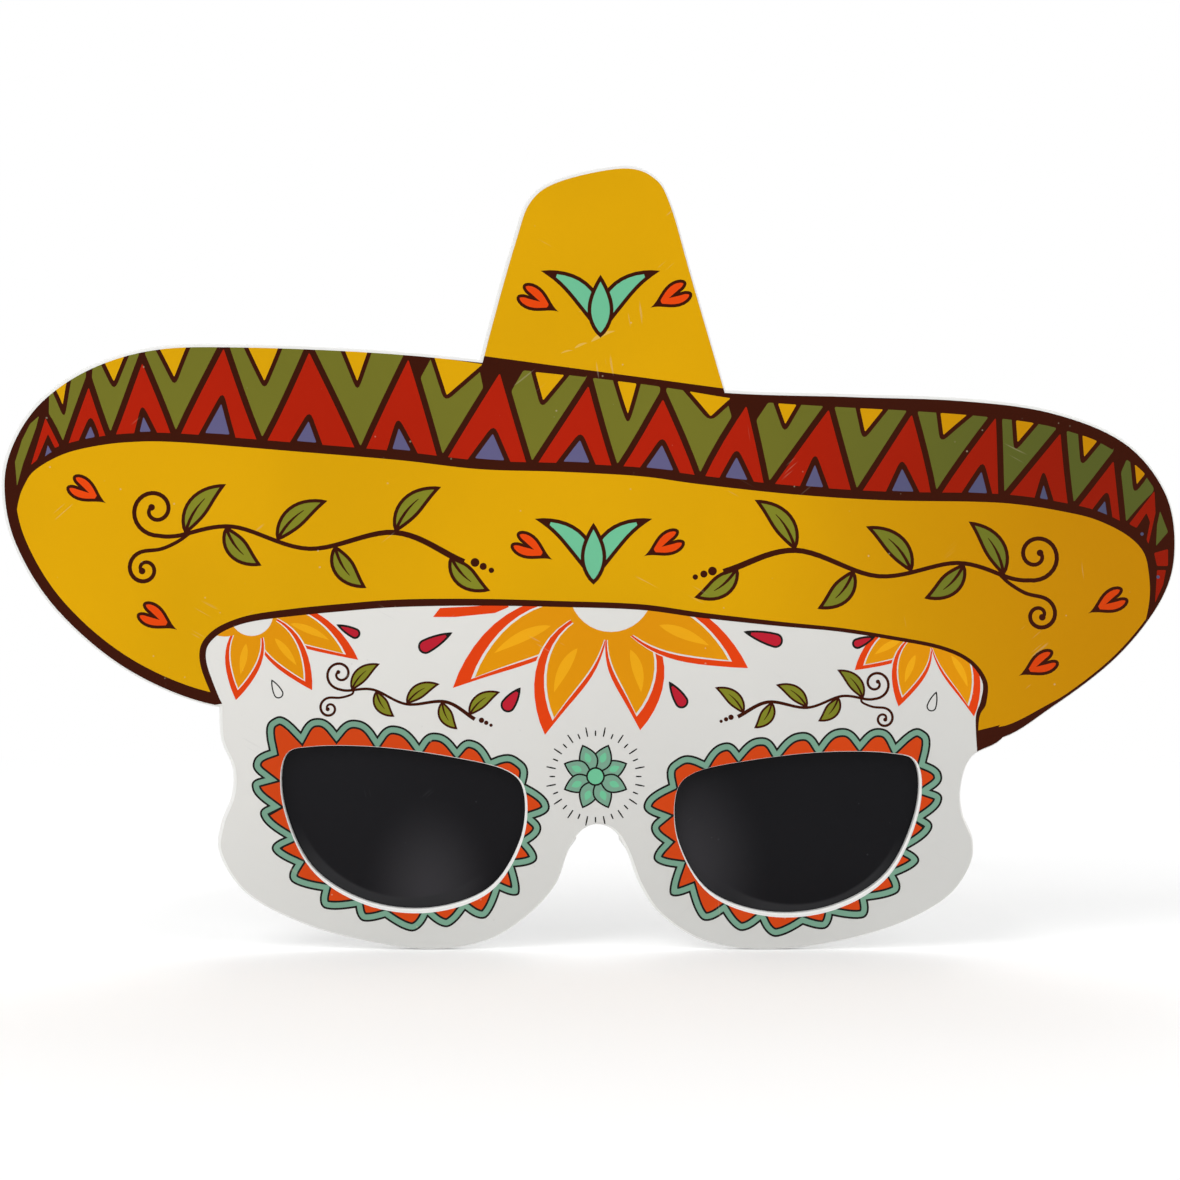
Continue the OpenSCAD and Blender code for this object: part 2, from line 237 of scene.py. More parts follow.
def softened(loop: Plane, size: float | np.ndarray) -> Plane:
    """A closed outline with its sharp corners cut round, as a pen leaves them.

    Args:
        loop: The outline.
        size: Length in mm that each corner loses on both sides, one for all or one for each.

    Returns:
        The outline with its new points.
    """
    if len(loop) < 3:
        return loop
    shares = (0.0, 0.25, 0.5, 0.75, 1.0)
    points = []
    for corner, into, out, cut in zip(loop, *directions(loop, closed=True), np.broadcast_to(size, len(loop))):
        if float(into @ out) > 0.9:
            points.append(corner)
        else:
            start, end = corner - into * cut, corner + out * cut
            points += [(1 - t) ** 2 * start + 2 * t * (1 - t) * corner + t**2 * end for t in shares]
    return np.array(points)


def banks(line: Plane, widths: Sequence[float], reach: float = 1.5) -> tuple[Plane, Plane]:
    """The two edges of a stroke along a line.

    Args:
        line: The stroke's middle line.
        widths: Full widths, spread evenly from its start to its end.
        reach: Longest step at a sharp corner, as a share of half the width.

    Returns:
        The left edge and the right edge.
    """
    half = np.interp(np.linspace(0, 1, len(line)), np.linspace(0, 1, len(widths)), widths) / 2
    steps = side_steps(line, closed=False, reach=reach) * half[:, None]
    return line + steps, line - steps


def ribbon(line: Plane, widths: Sequence[float]) -> Plane:
    """Closed outline of a stroke along a line, its widths spread evenly."""
    left, right = banks(line, widths)
    return np.vstack([left, right[::-1]])


def placed(shape: Plane, at: Point, turn: float = 0.0, size: float = 1.0) -> Plane:
    """A shape made bigger, turned and moved.

    Args:
        shape: Points about the shape's own origin.
        at: Where its origin goes.
        turn: Counterclockwise turn in degrees.
        size: Factor.

    Returns:
        The placed points.
    """
    a = math.radians(turn)
    spin = np.array([[math.cos(a), math.sin(a)], [-math.sin(a), math.cos(a)]])
    return (shape * size) @ spin + np.asarray(at, float)


def laid(shape: Plane, start: Point, end: Point) -> Plane:
    """A shape of unit length along its first axis, laid from one point to another."""
    turn = math.degrees(math.atan2(end[1] - start[1], end[0] - start[0]))
    return placed(shape, start, turn, math.dist(start, end))


def ray(degrees: float) -> Plane:
    """Unit vector in a direction."""
    a = math.radians(degrees)
    return np.array([math.cos(a), math.sin(a)])


def arc(angles: np.ndarray, radii: float | np.ndarray) -> Plane:
    """Points about the origin at angles in radians."""
    return np.stack([radii * np.cos(angles), radii * np.sin(angles)], 1)


def heart(at: Point, tip: Point) -> Plane:
    """Heart with a drawn-out tip, half as wide as it is long.

    Args:
        at: The heart's middle.
        tip: Its tip.

    Returns:
        The closed outline.
    """
    t = np.linspace(0, 2 * math.pi, 40, endpoint=False)
    along = -(13 * np.cos(t) - 5 * np.cos(2 * t) - 2 * np.cos(3 * t) - np.cos(4 * t)) / 17
    return laid(np.stack([along, np.sin(t) ** 3 * 0.5], 1), at, tip)


def leaf(base: Point, tip: Point, width: float, bend: float) -> Plane:
    """Pointed leaf along a bent middle line.

    Args:
        base: Where it leaves its stem.
        tip: Its tip.
        width: Full width in mm.
        bend: Sideways bow of its middle line as a share of its length.

    Returns:
        The closed outline.
    """
    t = np.linspace(0, 1, 14)
    half = np.sin(math.pi * t**0.85) ** 0.9 * width / 2 / math.dist(base, tip)
    bow = 4 * bend * t * (1 - t)
    sway = 4 * bend * (1 - 2 * t)
    run = np.sqrt(1 + sway**2)
    left = np.stack([t - half * sway / run, bow + half / run], 1)
    right = np.stack([t + half * sway / run, bow - half / run], 1)
    return laid(np.vstack([left, right[-2:0:-1]]), base, tip)


def vein(base: Point, tip: Point, bend: float, width: float) -> Plane:
    """Line along the first part of a leaf's middle.

    Args:
        base: Where the leaf leaves its stem.
        tip: The leaf's tip.
        bend: The leaf's own bow.
        width: Width of the line at its root in mm.

    Returns:
        The closed outline.
    """
    t = np.linspace(0.02, 0.62, 7)
    line = laid(np.stack([t, 4 * bend * t * (1 - t)], 1), base, tip)
    return ribbon(line, (width, width * 0.8, width * 0.2))


def drop(foot: Point, tip: Point, radius: float) -> Plane:
    """Teardrop with a sharp tip.

    Args:
        foot: Middle of its round foot.
        tip: Its tip.
        radius: Radius of the foot.

    Returns:
        The closed outline.
    """
    t = np.linspace(0, 2 * math.pi, 28, endpoint=False)
    length = math.dist(foot, tip)
    along = np.cos(t) * np.where(np.cos(t) > 0, length, radius)
    across = np.sin(t) * radius * (1 - np.maximum(np.cos(t), 0.0) ** 1.5) ** 0.35
    return laid(np.stack([along, across], 1) / length, foot, tip)


def disc(at: Point, radius: float, count: int = 20) -> Plane:
    """Circle of a number of points."""
    return np.asarray(at) + arc(np.linspace(0, 2 * math.pi, count, endpoint=False), radius)


def spiral(at: Point, start: float, turns: float, radius: float) -> Plane:
    """Middle line of a curl that winds in.

    Args:
        at: Middle of the curl.
        start: Direction of its outer end in degrees.
        turns: Number of turns, counterclockwise where positive.
        radius: Radius at its outer end.

    Returns:
        The line's points.
    """
    t = np.linspace(0, 1, 36)
    return np.asarray(at) + arc(math.radians(start) + 2 * math.pi * turns * t, radius * (1 - 0.82 * t**0.9))


def face_loops(node: str, axis: Axis, highest: bool = False) -> list[Plane]:
    """Outlines of the flat face that ends a CAD part along an axis.

    Args:
        node: The part's name.
        axis: The axis that the face is square to.
        highest: Whether the face is the one furthest along the axis.

    Returns:
        The outlines in mm, the outer one counterclockwise and first, then the holes clockwise.
    """
    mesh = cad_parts[node].data
    co = np.zeros(len(mesh.vertices) * 3)
    mesh.vertices.foreach_get("co", co)
    co = co.reshape(-1, 3) / MM
    depth, across, up = axis.value
    level = co[:, depth].max() if highest else co[:, depth].min()
    on_face = np.abs(co[:, depth] - level) < MERGE_MM
    spots = [(round(float(p[across]), 3), round(float(p[up]), 3)) for p in co]
    edges: dict[tuple[Point, Point], None] = {}
    for polygon in mesh.polygons:
        if all(on_face[i] for i in polygon.vertices):
            ring = [spots[i] for i in polygon.vertices]
            edges.update(dict.fromkeys(zip(ring, ring[1:] + ring[:1])))
    follow = {a: b for a, b in edges if (b, a) not in edges}
    loops = []
    while follow:
        first, spot = follow.popitem()
        loop = [first]
        while spot != first:
            loop.append(spot)
            spot = follow.pop(spot)
        loops.append(counterclockwise(np.array(loop)))
    loops.sort(key=signed_area, reverse=True)
    return [loops[0]] + [hole[::-1] for hole in loops[1:]]


def triangles_of(shapes: Sequence[Plane]) -> tuple[list[Vector], list[list[int]], list[list[int]]]:
    """Divide the plane along the outlines of overlapping shapes.

    Args:
        shapes: Closed outlines in mm.

    Returns:
        The points, the triangles, and for each triangle the numbers of the shapes that hold it.
    """
    points: list[Vector] = []
    faces: list[list[int]] = []
    for shape in shapes:
        ring = counterclockwise(thinned(shape, 5 * MERGE_MM))
        faces.append(list(range(len(points), len(points) + len(ring))))
        points.extend(Vector((float(u), float(v))) for u, v in ring)
    made = delaunay_2d_cdt(points, [], faces, 0, MERGE_MM)
    return list(made[0]), [list(t) for t in made[2]], [list(s) for s in made[5]]


def finished(bm: BMesh, name: str) -> Mesh:
    """Turn a bmesh into a mesh with sharp edges where it folds.

    Args:
        bm: The bmesh, which is freed.
        name: The mesh's name.

    Returns:
        The mesh.
    """
    mesh = bpy.data.meshes.new(name)
    bm.to_mesh(mesh)
    bm.free()
    mesh.set_sharp_from_angle(angle=math.radians(SHARP_DEG))
    return mesh


def rounded_plate(name: str, loops: Sequence[Plane], node: str, radius: float, axis: Axis) -> Mesh:
    """Flat moulded part with rounded edges.

    Args:
        name: The mesh's name.
        loops: Outer outline counterclockwise, then the holes clockwise, in mm.
        node: The CAD part whose thickness it has.
        radius: Radius of the rounded edges in mm.
        axis: The axis that the part is thin along.

    Returns:
        The mesh, in metres.
    """
    near, far = (corner[axis.value[0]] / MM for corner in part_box(node))
    bends = [math.pi / 2 * i / 4 for i in range(5)]
    profile = [(radius * (1 - math.sin(a)), radius * (1 - math.cos(a))) for a in bends]
    levels = [(inset, near + depth) for inset, depth in profile]
    levels += [(inset, far - depth) for inset, depth in reversed(profile)]
    bm = bmesh.new()
    inner = []
    for loop in loops:
        loop = thinned(loop, 0.12)
        side = side_steps(loop, closed=True, reach=1.6)
        inner.append(loop + side * radius)
        rings = [[bm.verts.new(axis.point(p, level)) for p in loop + side * inset] for inset, level in levels]
        for low, high in zip(rings, rings[1:]):
            for i in range(len(loop)):
                bm.faces.new((low[i - 1], low[i], high[i], high[i - 1])).smooth = True
    points, triangles, holders = triangles_of(inner)
    for level in (near, far):
        verts = [bm.verts.new(axis.point(p, level)) for p in points]
        for triangle, holder in zip(triangles, holders):
            if holder == [0]:
                bm.faces.new([verts[i] for i in triangle])
    bmesh.ops.delete(bm, geom=[v for v in bm.verts if not v.link_faces], context="VERTS")
    bmesh.ops.remove_doubles(bm, verts=bm.verts, dist=2e-6)
    bmesh.ops.recalc_face_normals(bm, faces=bm.faces)
    return finished(bm, name)


def turned(profile: Sequence[Point], count: int = 24) -> BMesh:
    """Solid of revolution about Z.

    Args:
        profile: Radius and height of its outline in mm, from the axis at the foot to the axis at the top.
        count: Segments round the axis.

    Returns:
        The solid, in metres.
    """
    bm = bmesh.new()
    rings = []
    for r, h in profile:
        spots = [ray(360 * i / count) * r for i in range(count if r else 1)]
        rings.append([bm.verts.new((u * MM, v * MM, h * MM)) for u, v in spots])
    for low, high in zip(rings, rings[1:]):
        for i in range(count):
            lower = [low[k % len(low)] for k in (i, i + 1)]
            upper = [high[k % len(high)] for k in (i + 1, i)]
            bm.faces.new(dict.fromkeys(lower + upper)).smooth = True
    return bm


def cad_copy(node: str) -> BMesh:
    """A CAD part's mesh with its seams joined, to be reshaped as a new piece.

    Args:
        node: The part's name.

    Returns:
        The copy.
    """
    bm = bmesh.new()
    bm.from_mesh(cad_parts[node].data)
    bmesh.ops.remove_doubles(bm, verts=bm.verts, dist=1e-6)
    return bm


def add_piece(mesh: Mesh, material: Material) -> Piece:
    """Add a new object that has its mesh's name.

    Args:
        mesh: Its mesh.
        material: Its one material.

    Returns:
        The object.
    """
    piece = bpy.data.objects.new(mesh.name, mesh)
    bpy.context.scene.collection.objects.link(piece)
    mesh.materials.clear()
    mesh.materials.append(material)
    return piece


def modify(piece: Piece, kind: str, **settings: object) -> None:
    """Give a piece a modifier.

    Args:
        piece: The piece.
        kind: The modifier's type.
        **settings: The modifier's settings.
    """
    modifier = piece.modifiers.new(kind.lower(), kind)
    for key, value in settings.items():
        setattr(modifier, key, value)


def baked(piece: Piece) -> None:
    """Make a piece's modifiers part of its mesh.

    Args:
        piece: The piece.
    """
    mesh = bpy.data.meshes.new_from_object(piece.evaluated_get(bpy.context.evaluated_depsgraph_get()))
    mesh.name = piece.data.name
    piece.modifiers.clear()
    piece.data = mesh


def settle(piece: Piece, body: str, node: str = "") -> None:
    """Attach a finished piece to the body that it rides on, hide the CAD part that it stands for, and log it.

    Args:
        piece: The piece.
        body: The body that it moves with.
        node: The CAD part that it stands for, if any.
    """
    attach(piece, body)
    if node:
        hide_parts(node)
    log.info("%s: %d faces, rides on %s", piece.name, len(piece.data.polygons), body)


def dress(node: str, material: Material) -> None:
    """Give a CAD part that is shown as it is its material.

    Args:
        node: The part's name.
        material: The material.
    """
    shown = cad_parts[node]
    shown.data.materials.clear()
    shown.data.materials.append(material)
    log.info("%s: CAD part, %s", node, material.name)


def linear(colour: Sequence[float]) -> tuple[float, float, float, float]:
    """Scene-linear colour with full alpha from screen values of 0 to 255."""
    parts = [c / 255 for c in colour]
    return (*(c / 12.92 if c <= 0.04045 else ((c + 0.055) / 1.055) ** 2.4 for c in parts), 1.0)


class Graph:
    """A node tree with short calls that add and join nodes."""

    def __init__(self, tree: bpy.types.NodeTree) -> None:
        """Take over a node tree and empty it."""
        self.tree = tree
        tree.nodes.clear()

    def add(self, kind: str, inputs: dict[str | int, object] | None = None, **settings: object) -> Node:
        """Add a node.

        Args:
            kind: Its type without the ShaderNode prefix.
            inputs: A value or a feeding socket for each input's name or number.
            **settings: Values for its own settings, which are set first.

        Returns:
            The node.
        """
        node = self.tree.nodes.new(kind if kind.startswith("Node") else "ShaderNode" + kind)
        for key, value in settings.items():
            setattr(node, key, value)
        for key, value in (inputs or {}).items():
            if isinstance(value, Socket):
                self.tree.links.new(value, node.inputs[key])
            else:
                node.inputs[key].default_value = value
        return node

    def math(self, operation: str, *values: float | Socket) -> Socket:
        """One number worked out from up to three others."""
        return self.add("Math", dict(enumerate(values)), operation=operation).outputs[0]

    def length(self, u: Socket, v: Socket) -> Socket:
        """Length of a vector in the plane."""
        return self.math("SQRT", self.math("MULTIPLY_ADD", v, v, self.math("MULTIPLY", u, u)))

    def place(self) -> Socket:
        """Place on the piece, in metres."""
        return self.add("TexCoord").outputs["Object"]

    def split(self, vector: Socket) -> Sequence[Socket]:
        """The X, Y and Z of a vector."""
        return tuple(self.add("SeparateXYZ", {0: vector}).outputs)

    def noise(self, place: Socket, scale: float | Socket, detail: float) -> Socket:
        """Noise from 0 to 1, by its waves in a metre and its octaves."""
        return self.add("TexNoise", {"Vector": place, "Scale": scale, "Detail": detail}).outputs["Fac"]

    def ramp(self, value: Socket, low: float, high: float, first: float = 0.0, last: float = 1.0) -> Socket:
        """Map a value with soft ends, so that low gives the first result and high the last."""
        given = {"Value": value, "From Min": low, "From Max": high, "To Min": first, "To Max": last}
        return self.add("MapRange", given, interpolation_type="SMOOTHSTEP", clamp=True).outputs["Result"]

    def mix(self, share: Socket, first: object, second: object) -> Socket:
        """Mix of two colours, by the share of the second."""
        return self.add("Mix", {0: share, 6: first, 7: second}, data_type="RGBA").outputs[2]

    def blend(self, share: Socket, first: Node, second: Node) -> Node:
        """Mix of two shaders, by the share of the second."""
        return self.add("MixShader", {0: share, 1: first.outputs[0], 2: second.outputs[0]})


class SurfaceGroup:
    """Shader node group for what making and handling leave on a surface.

    It gives a roughness with smudges, a mask of fine scratches and specks, a mask of soft blotches
    and a height.
    """

    INPUTS = ("Roughness", "Smudge", "Scratch", "Blotch Scale")
    OUTPUTS = ("Roughness", "Scratches", "Blotches", "Height")
    # Hair-thin lines: turn in radians, waves in a metre across them and along them, and of their patches
    HAIRS = ((0.5, 2300.0, 95.0, 61.0), (-0.7, 1900.0, 120.0, 83.0), (1.4, 2100.0, 110.0, 74.0))
    # Waves in a metre of the smudges, of the moulding's own unevenness, of the specks and of their patches
    SMUDGES = 38.0
    UNEVENNESS = 55.0
    SPECKS = 430.0
    SPECK_PATCHES = 150.0
    # How deep a scratch is as a share of the unevenness
    SCRATCH_DEPTH = 0.6

    def __init__(self) -> None:
        """Build the group once."""
        self.tree = bpy.data.node_groups.new("handled_surface", "ShaderNodeTree")
        graph = Graph(self.tree)
        for way, labels in (("INPUT", self.INPUTS), ("OUTPUT", self.OUTPUTS)):
            for label in labels:
                self.tree.interface.new_socket(name=label, in_out=way, socket_type="NodeSocketFloat")
        given = graph.add("NodeGroupInput").outputs
        place = graph.place()
        lines = graph.math("MAXIMUM", self._scratches(graph, place), self._specks(graph, place))
        marks = graph.math("MULTIPLY", lines, given["Scratch"])
        smudges = graph.ramp(graph.noise(place, self.SMUDGES, 3.0), 0.45, 0.72)
        smudged = graph.math("ADD", given["Roughness"], graph.math("MULTIPLY", smudges, given["Smudge"]))
        dents = graph.math("MULTIPLY", lines, self.SCRATCH_DEPTH)
        graph.add("NodeGroupOutput", {
            "Roughness": graph.math("ADD", smudged, marks),
            "Scratches": marks,
            "Blotches": graph.ramp(graph.noise(place, given["Blotch Scale"], 1.5), 0.25, 0.75),
            "Height": graph.math("SUBTRACT", graph.noise(place, self.UNEVENNESS, 1.0), dents),
        })

    def _scratches(self, graph: Graph, place: Socket) -> Socket:
        """Mask of short hair-thin lines that run three ways.

        Args:
            graph: The group's nodes.
            place: Place on the piece.

        Returns:
            The socket with the mask.
        """
        mask: float | Socket = 0.0
        for turn, thin, long, spread in self.HAIRS:
            given = {"Vector": place, "Rotation": (0.0, turn, 0.0), "Scale": (1 / long, 1 / long, 1 / thin)}
            spun = graph.add("Mapping", given, vector_type="TEXTURE").outputs["Vector"]
            line = graph.ramp(graph.noise(spun, 1.0, 0.0), 0.74, 0.8)
            patch = graph.ramp(graph.noise(place, spread, 1.0), 0.67, 0.74)
            faint = graph.math("MULTIPLY", graph.math("MULTIPLY", line, patch), 0.5)
            mask = graph.math("MAXIMUM", mask, faint)
        return mask

    def _specks(self, graph: Graph, place: Socket) -> Socket:
        """Mask of fine dust specks, denser in some places.

        Args:
            graph: The group's nodes.
            place: Place on the piece.

        Returns:
            The socket with the mask.
        """
        cells = graph.add("TexVoronoi", {"Vector": place, "Scale": self.SPECKS})
        dot = graph.ramp(cells.outputs["Distance"], 0.05, 0.11, 1.0, 0.0)
        patch = graph.ramp(graph.noise(place, self.SPECK_PATCHES, 1.0), 0.6, 0.66)
        return graph.math("MULTIPLY", dot, patch)

    def add_to(self, graph: Graph, finish: Finish) -> Node:
        """Put the group into a material, with a finish's values."""
        values = (finish.roughness, finish.smudge, finish.scratch, finish.blotch_scale)
        return graph.add("Group", dict(zip(self.INPUTS, values)), node_tree=self.tree)


@dataclass(frozen=True)
class Finish:
    """How one material looks. Colours are screen values of 0 to 255."""

    name: str
    colour: Colour
    shade: Colour
    roughness: float = 0.3
    smudge: float = 0.1
    scratch: float = 0.2
    blotch_scale: float = 30.0
    metallic: float = 0.0
    specular: float = 0.5
    bump: float = 0.00002
    scratch_colour: Colour = (245, 243, 238)
    alpha: float = 1.0
    # Painted shade: factors on the colour towards the wearer's left, where the light falls off, and where
    # they start and end in metres
    painted_shade_factors: Colour | None = None
    painted_shade_span: Point = (0.012, 0.11)

    def ground(self, graph: Graph, marks: Node) -> Socket:
        """Colour of the surface under its scratches, from the material's nodes and its marks."""
        return graph.mix(marks.outputs["Blotches"], linear(self.colour), linear(self.shade))

    def material(self, surface: SurfaceGroup) -> Material:
        """Build the material.

        Args:
            surface: The shared group of marks.

        Returns:
            The material.
        """
        made = bpy.data.materials.new(self.name)
        made.use_nodes = True
        graph = Graph(made.node_tree)
        marks = surface.add_to(graph, self)
        ground = self.ground(graph, marks)
        # Painted shade: the colour darkens across X towards the wearer's left, standing in for falling light.
        if self.painted_shade_factors:
            depth = graph.ramp(graph.split(graph.place())[0], *self.painted_shade_span)
            ground = graph.mix(depth, ground, linear([c * share for c, share in zip(self.colour, self.painted_shade_factors)]))
        bump = graph.add("Bump", {"Strength": 1.0, "Distance": self.bump, "Height": marks.outputs["Height"]})
        shader = graph.add("BsdfPrincipled", {
            "Base Color": graph.mix(marks.outputs["Scratches"], ground, linear(self.scratch_colour)),
            "Roughness": marks.outputs["Roughness"],
            "Metallic": self.metallic,
            "Specular IOR Level": self.specular,
            "Alpha": self.alpha,
            "Normal": bump.outputs["Normal"],
        })
        graph.add("OutputMaterial", {"Surface": shader.outputs["BSDF"]})
        return made


WHITE_PLASTIC = Finish("white_plastic", (240, 240, 238), (237, 237, 234), roughness=0.29, smudge=0.08,
                       scratch=0.3, scratch_colour=(200, 200, 198))
HINGE_STEEL = Finish("hinge_steel", (196, 196, 198), (172, 172, 176), roughness=0.285, smudge=0.12,
                     metallic=1.0, bump=0.00001, scratch_colour=(225, 225, 228))


class Ink(Enum):
    """The inks of the print, by screen colour. BARE is the pale grey film, and the ink after it is a painted
    highlight along the film's edge at the openings.
    """

    BARE = (207, 207, 205)
    EDGE_HIGHLIGHT = (238, 237, 236)
    BROWN = (61, 20, 6)
    BLACK = (30, 28, 26)
    YELLOW = (223, 166, 2)
    RED = (178, 31, 5)
    OLIVE = (116, 115, 38)
    VIOLET = (98, 94, 133)
    LEAF = (131, 134, 38)
    CORAL = (234, 72, 10)
    AQUA = (112, 194, 152)
    SAGE = (121, 163, 141)
    RUST = (211, 70, 20)
    ORANGE = (229, 150, 8)
    AMBER = (243, 172, 22)
    FLAME = (228, 66, 14)
    CRIMSON = (188, 32, 50)
    CREASE = (228, 182, 78)

    @property
    def finish(self) -> Finish:
        """The ink under its clear satin laminate. The hat's inks get painted shade towards the wearer's left,
        where the light falls off.

        Returns:
            The ink's finish.
        """
        # Painted shade: colour factors towards the wearer's left for the hat's inks.
        painted_shade_factors = {
            Ink.YELLOW: (0.87, 0.8, 0.5), Ink.RED: (0.82, 0.85, 1.0), Ink.OLIVE: (0.74, 0.8, 1.0),
            Ink.LEAF: (0.8, 0.84, 1.0), Ink.VIOLET: (0.8, 0.86, 0.83), Ink.CORAL: (0.9, 0.9, 0.9),
        }
        shade = tuple(c * 0.965 for c in self.value)
        return Finish(f"ink_{self.name.lower()}", self.value, shade, roughness=0.36, scratch=0.38,
                      blotch_scale=26.0, specular=0.06, scratch_colour=(206, 190, 160), painted_shade_factors=painted_shade_factors.get(self))


@dataclass(frozen=True)
class PaintedLightFilm(Finish):
    """The face's bare ground with painted light and shade: lighter towards the hat, as if lit from above, and
    greyer towards the wearer's left cheek.
    """

    name: str = "white_film"
    colour: Colour = (208, 208, 205)
    shade: Colour = (205, 205, 202)
    roughness: float = 0.34
    scratch: float = 0.3
    specular: float = 0.1
    scratch_colour: Colour = (190, 190, 188)
    # Painted light: the ground's colour where it is painted lightest.
    light: Colour = (226, 225, 221)
    # Painted light: tone gained in a metre across and in a metre up, and the tones where the painted light
    # starts and is full
    per_x: float = -75.0
    per_z: float = 243.0
    painted_light_span: Point = (-3.0, 22.0)

    def ground(self, graph: Graph, marks: Node) -> Socket:
        """Colour of the ground with painted light, from dark at the chin to light at the brim.

        Args:
            graph: The material's nodes.
            marks: The placed group of marks.

        Returns:
            The socket with the colour.
        """
        x, _, z = graph.split(graph.place())
        up = graph.math("MULTIPLY_ADD", z, self.per_z, graph.math("MULTIPLY", x, self.per_x))
        return graph.mix(graph.ramp(up, *self.painted_light_span), super().ground(graph, marks), linear(self.light))


@dataclass(frozen=True)
class SmokedSheet(Finish):
    """Smoked plastic sheet with a painted pale reflection, and a painted pale strip along its lower edge for
    the rear frame's rim seen through it.
    """

    name: str = "smoked_sheet"
    colour: Colour = (14, 13, 16)
    shade: Colour = (21, 21, 24)
    roughness: float = 0.12
    scratch: float = 0.25
    blotch_scale: float = 17.0
    specular: float = 0.07
    bump: float = 0.000004
    scratch_colour: Colour = (74, 74, 78)
    alpha: float = 0.998
    middle: float = 0.0
    # Painted reflection: a soft pale patch, its middle and size in mm, and its colour
    reflection_at: Point = (17.0, 16.5)
    reflection_size: Point = (18.0, 25.0)
    reflection_colour: Colour = (51, 50, 53)
    # Painted rim strip for the rear frame's rim seen through the sheet: its colour, its width, and the middle
    # and half axes of the oval that its edge follows, in mm
    painted_rim_colour: Colour = (46, 46, 48)
    painted_rim_w: float = 1.5
    oval_at: Point = (38.5, 30.6)
    oval_size: Point = (24.2, 22.6)
    tilt: float = 0.018

    def ground(self, graph: Graph, marks: Node) -> Socket:
        """Colour of the sheet: dark, with a painted pale reflection and a painted pale strip along its lower
        outer edge.

        Args:
            graph: The material's nodes.
            marks: The placed group of marks.

        Returns:
            The socket with the colour.
        """
        x, _, z = graph.split(graph.place())
        u = graph.math("MULTIPLY_ADD", x, 1 / MM, -self.middle)
        v = graph.math("MULTIPLY_ADD", u, self.tilt, graph.math("MULTIPLY", z, 1 / MM))
        off = [self._off(graph, given, i, self.reflection_at, self.reflection_size) for i, given in enumerate((u, v))]
        # Painted reflection: a soft pale patch fixed on the sheet.
        painted_reflection = graph.ramp(graph.length(*off), 0.0, 1.0, 1.0, 0.0)
        across = self._off(graph, graph.math("ABSOLUTE", u), 0, self.oval_at, self.oval_size)
        below = graph.math("MINIMUM", self._off(graph, v, 1, self.oval_at, self.oval_size), 0.0)
        inside = graph.math("SUBTRACT", 1.0, graph.length(across, below))
        depth = graph.math("MULTIPLY", inside, self.oval_size[1])
        # Painted rim strip: a pale band along the lower outer edge, standing in for the rear frame's rim seen
        # through the sheet.
        painted_rim = graph.ramp(depth, self.painted_rim_w * 0.72, self.painted_rim_w * 1.15, 1.0, 0.0)
        low = graph.ramp(below, -0.75, -0.25, 1.0, 0.0)
        outer = graph.math("MULTIPLY", low, graph.ramp(across, -0.7, -0.2))
        with_reflection = graph.mix(painted_reflection, super().ground(graph, marks), linear(self.reflection_colour))
        return graph.mix(graph.math("MULTIPLY", painted_rim, outer), with_reflection, linear(self.painted_rim_colour))

    @staticmethod
    def _off(graph: Graph, given: Socket, axis: int, middle: Point, size: Point) -> Socket:
        """How far a place lies off a middle along an axis, as a share of a size."""
        return graph.math("DIVIDE", graph.math("SUBTRACT", given, middle[axis]), size[axis])


@dataclass(frozen=True)
class Coat:
    """What one shape is painted with: its ink, and the number of the shape that it is cut to, if any."""

    ink: Ink
    mask: int | None


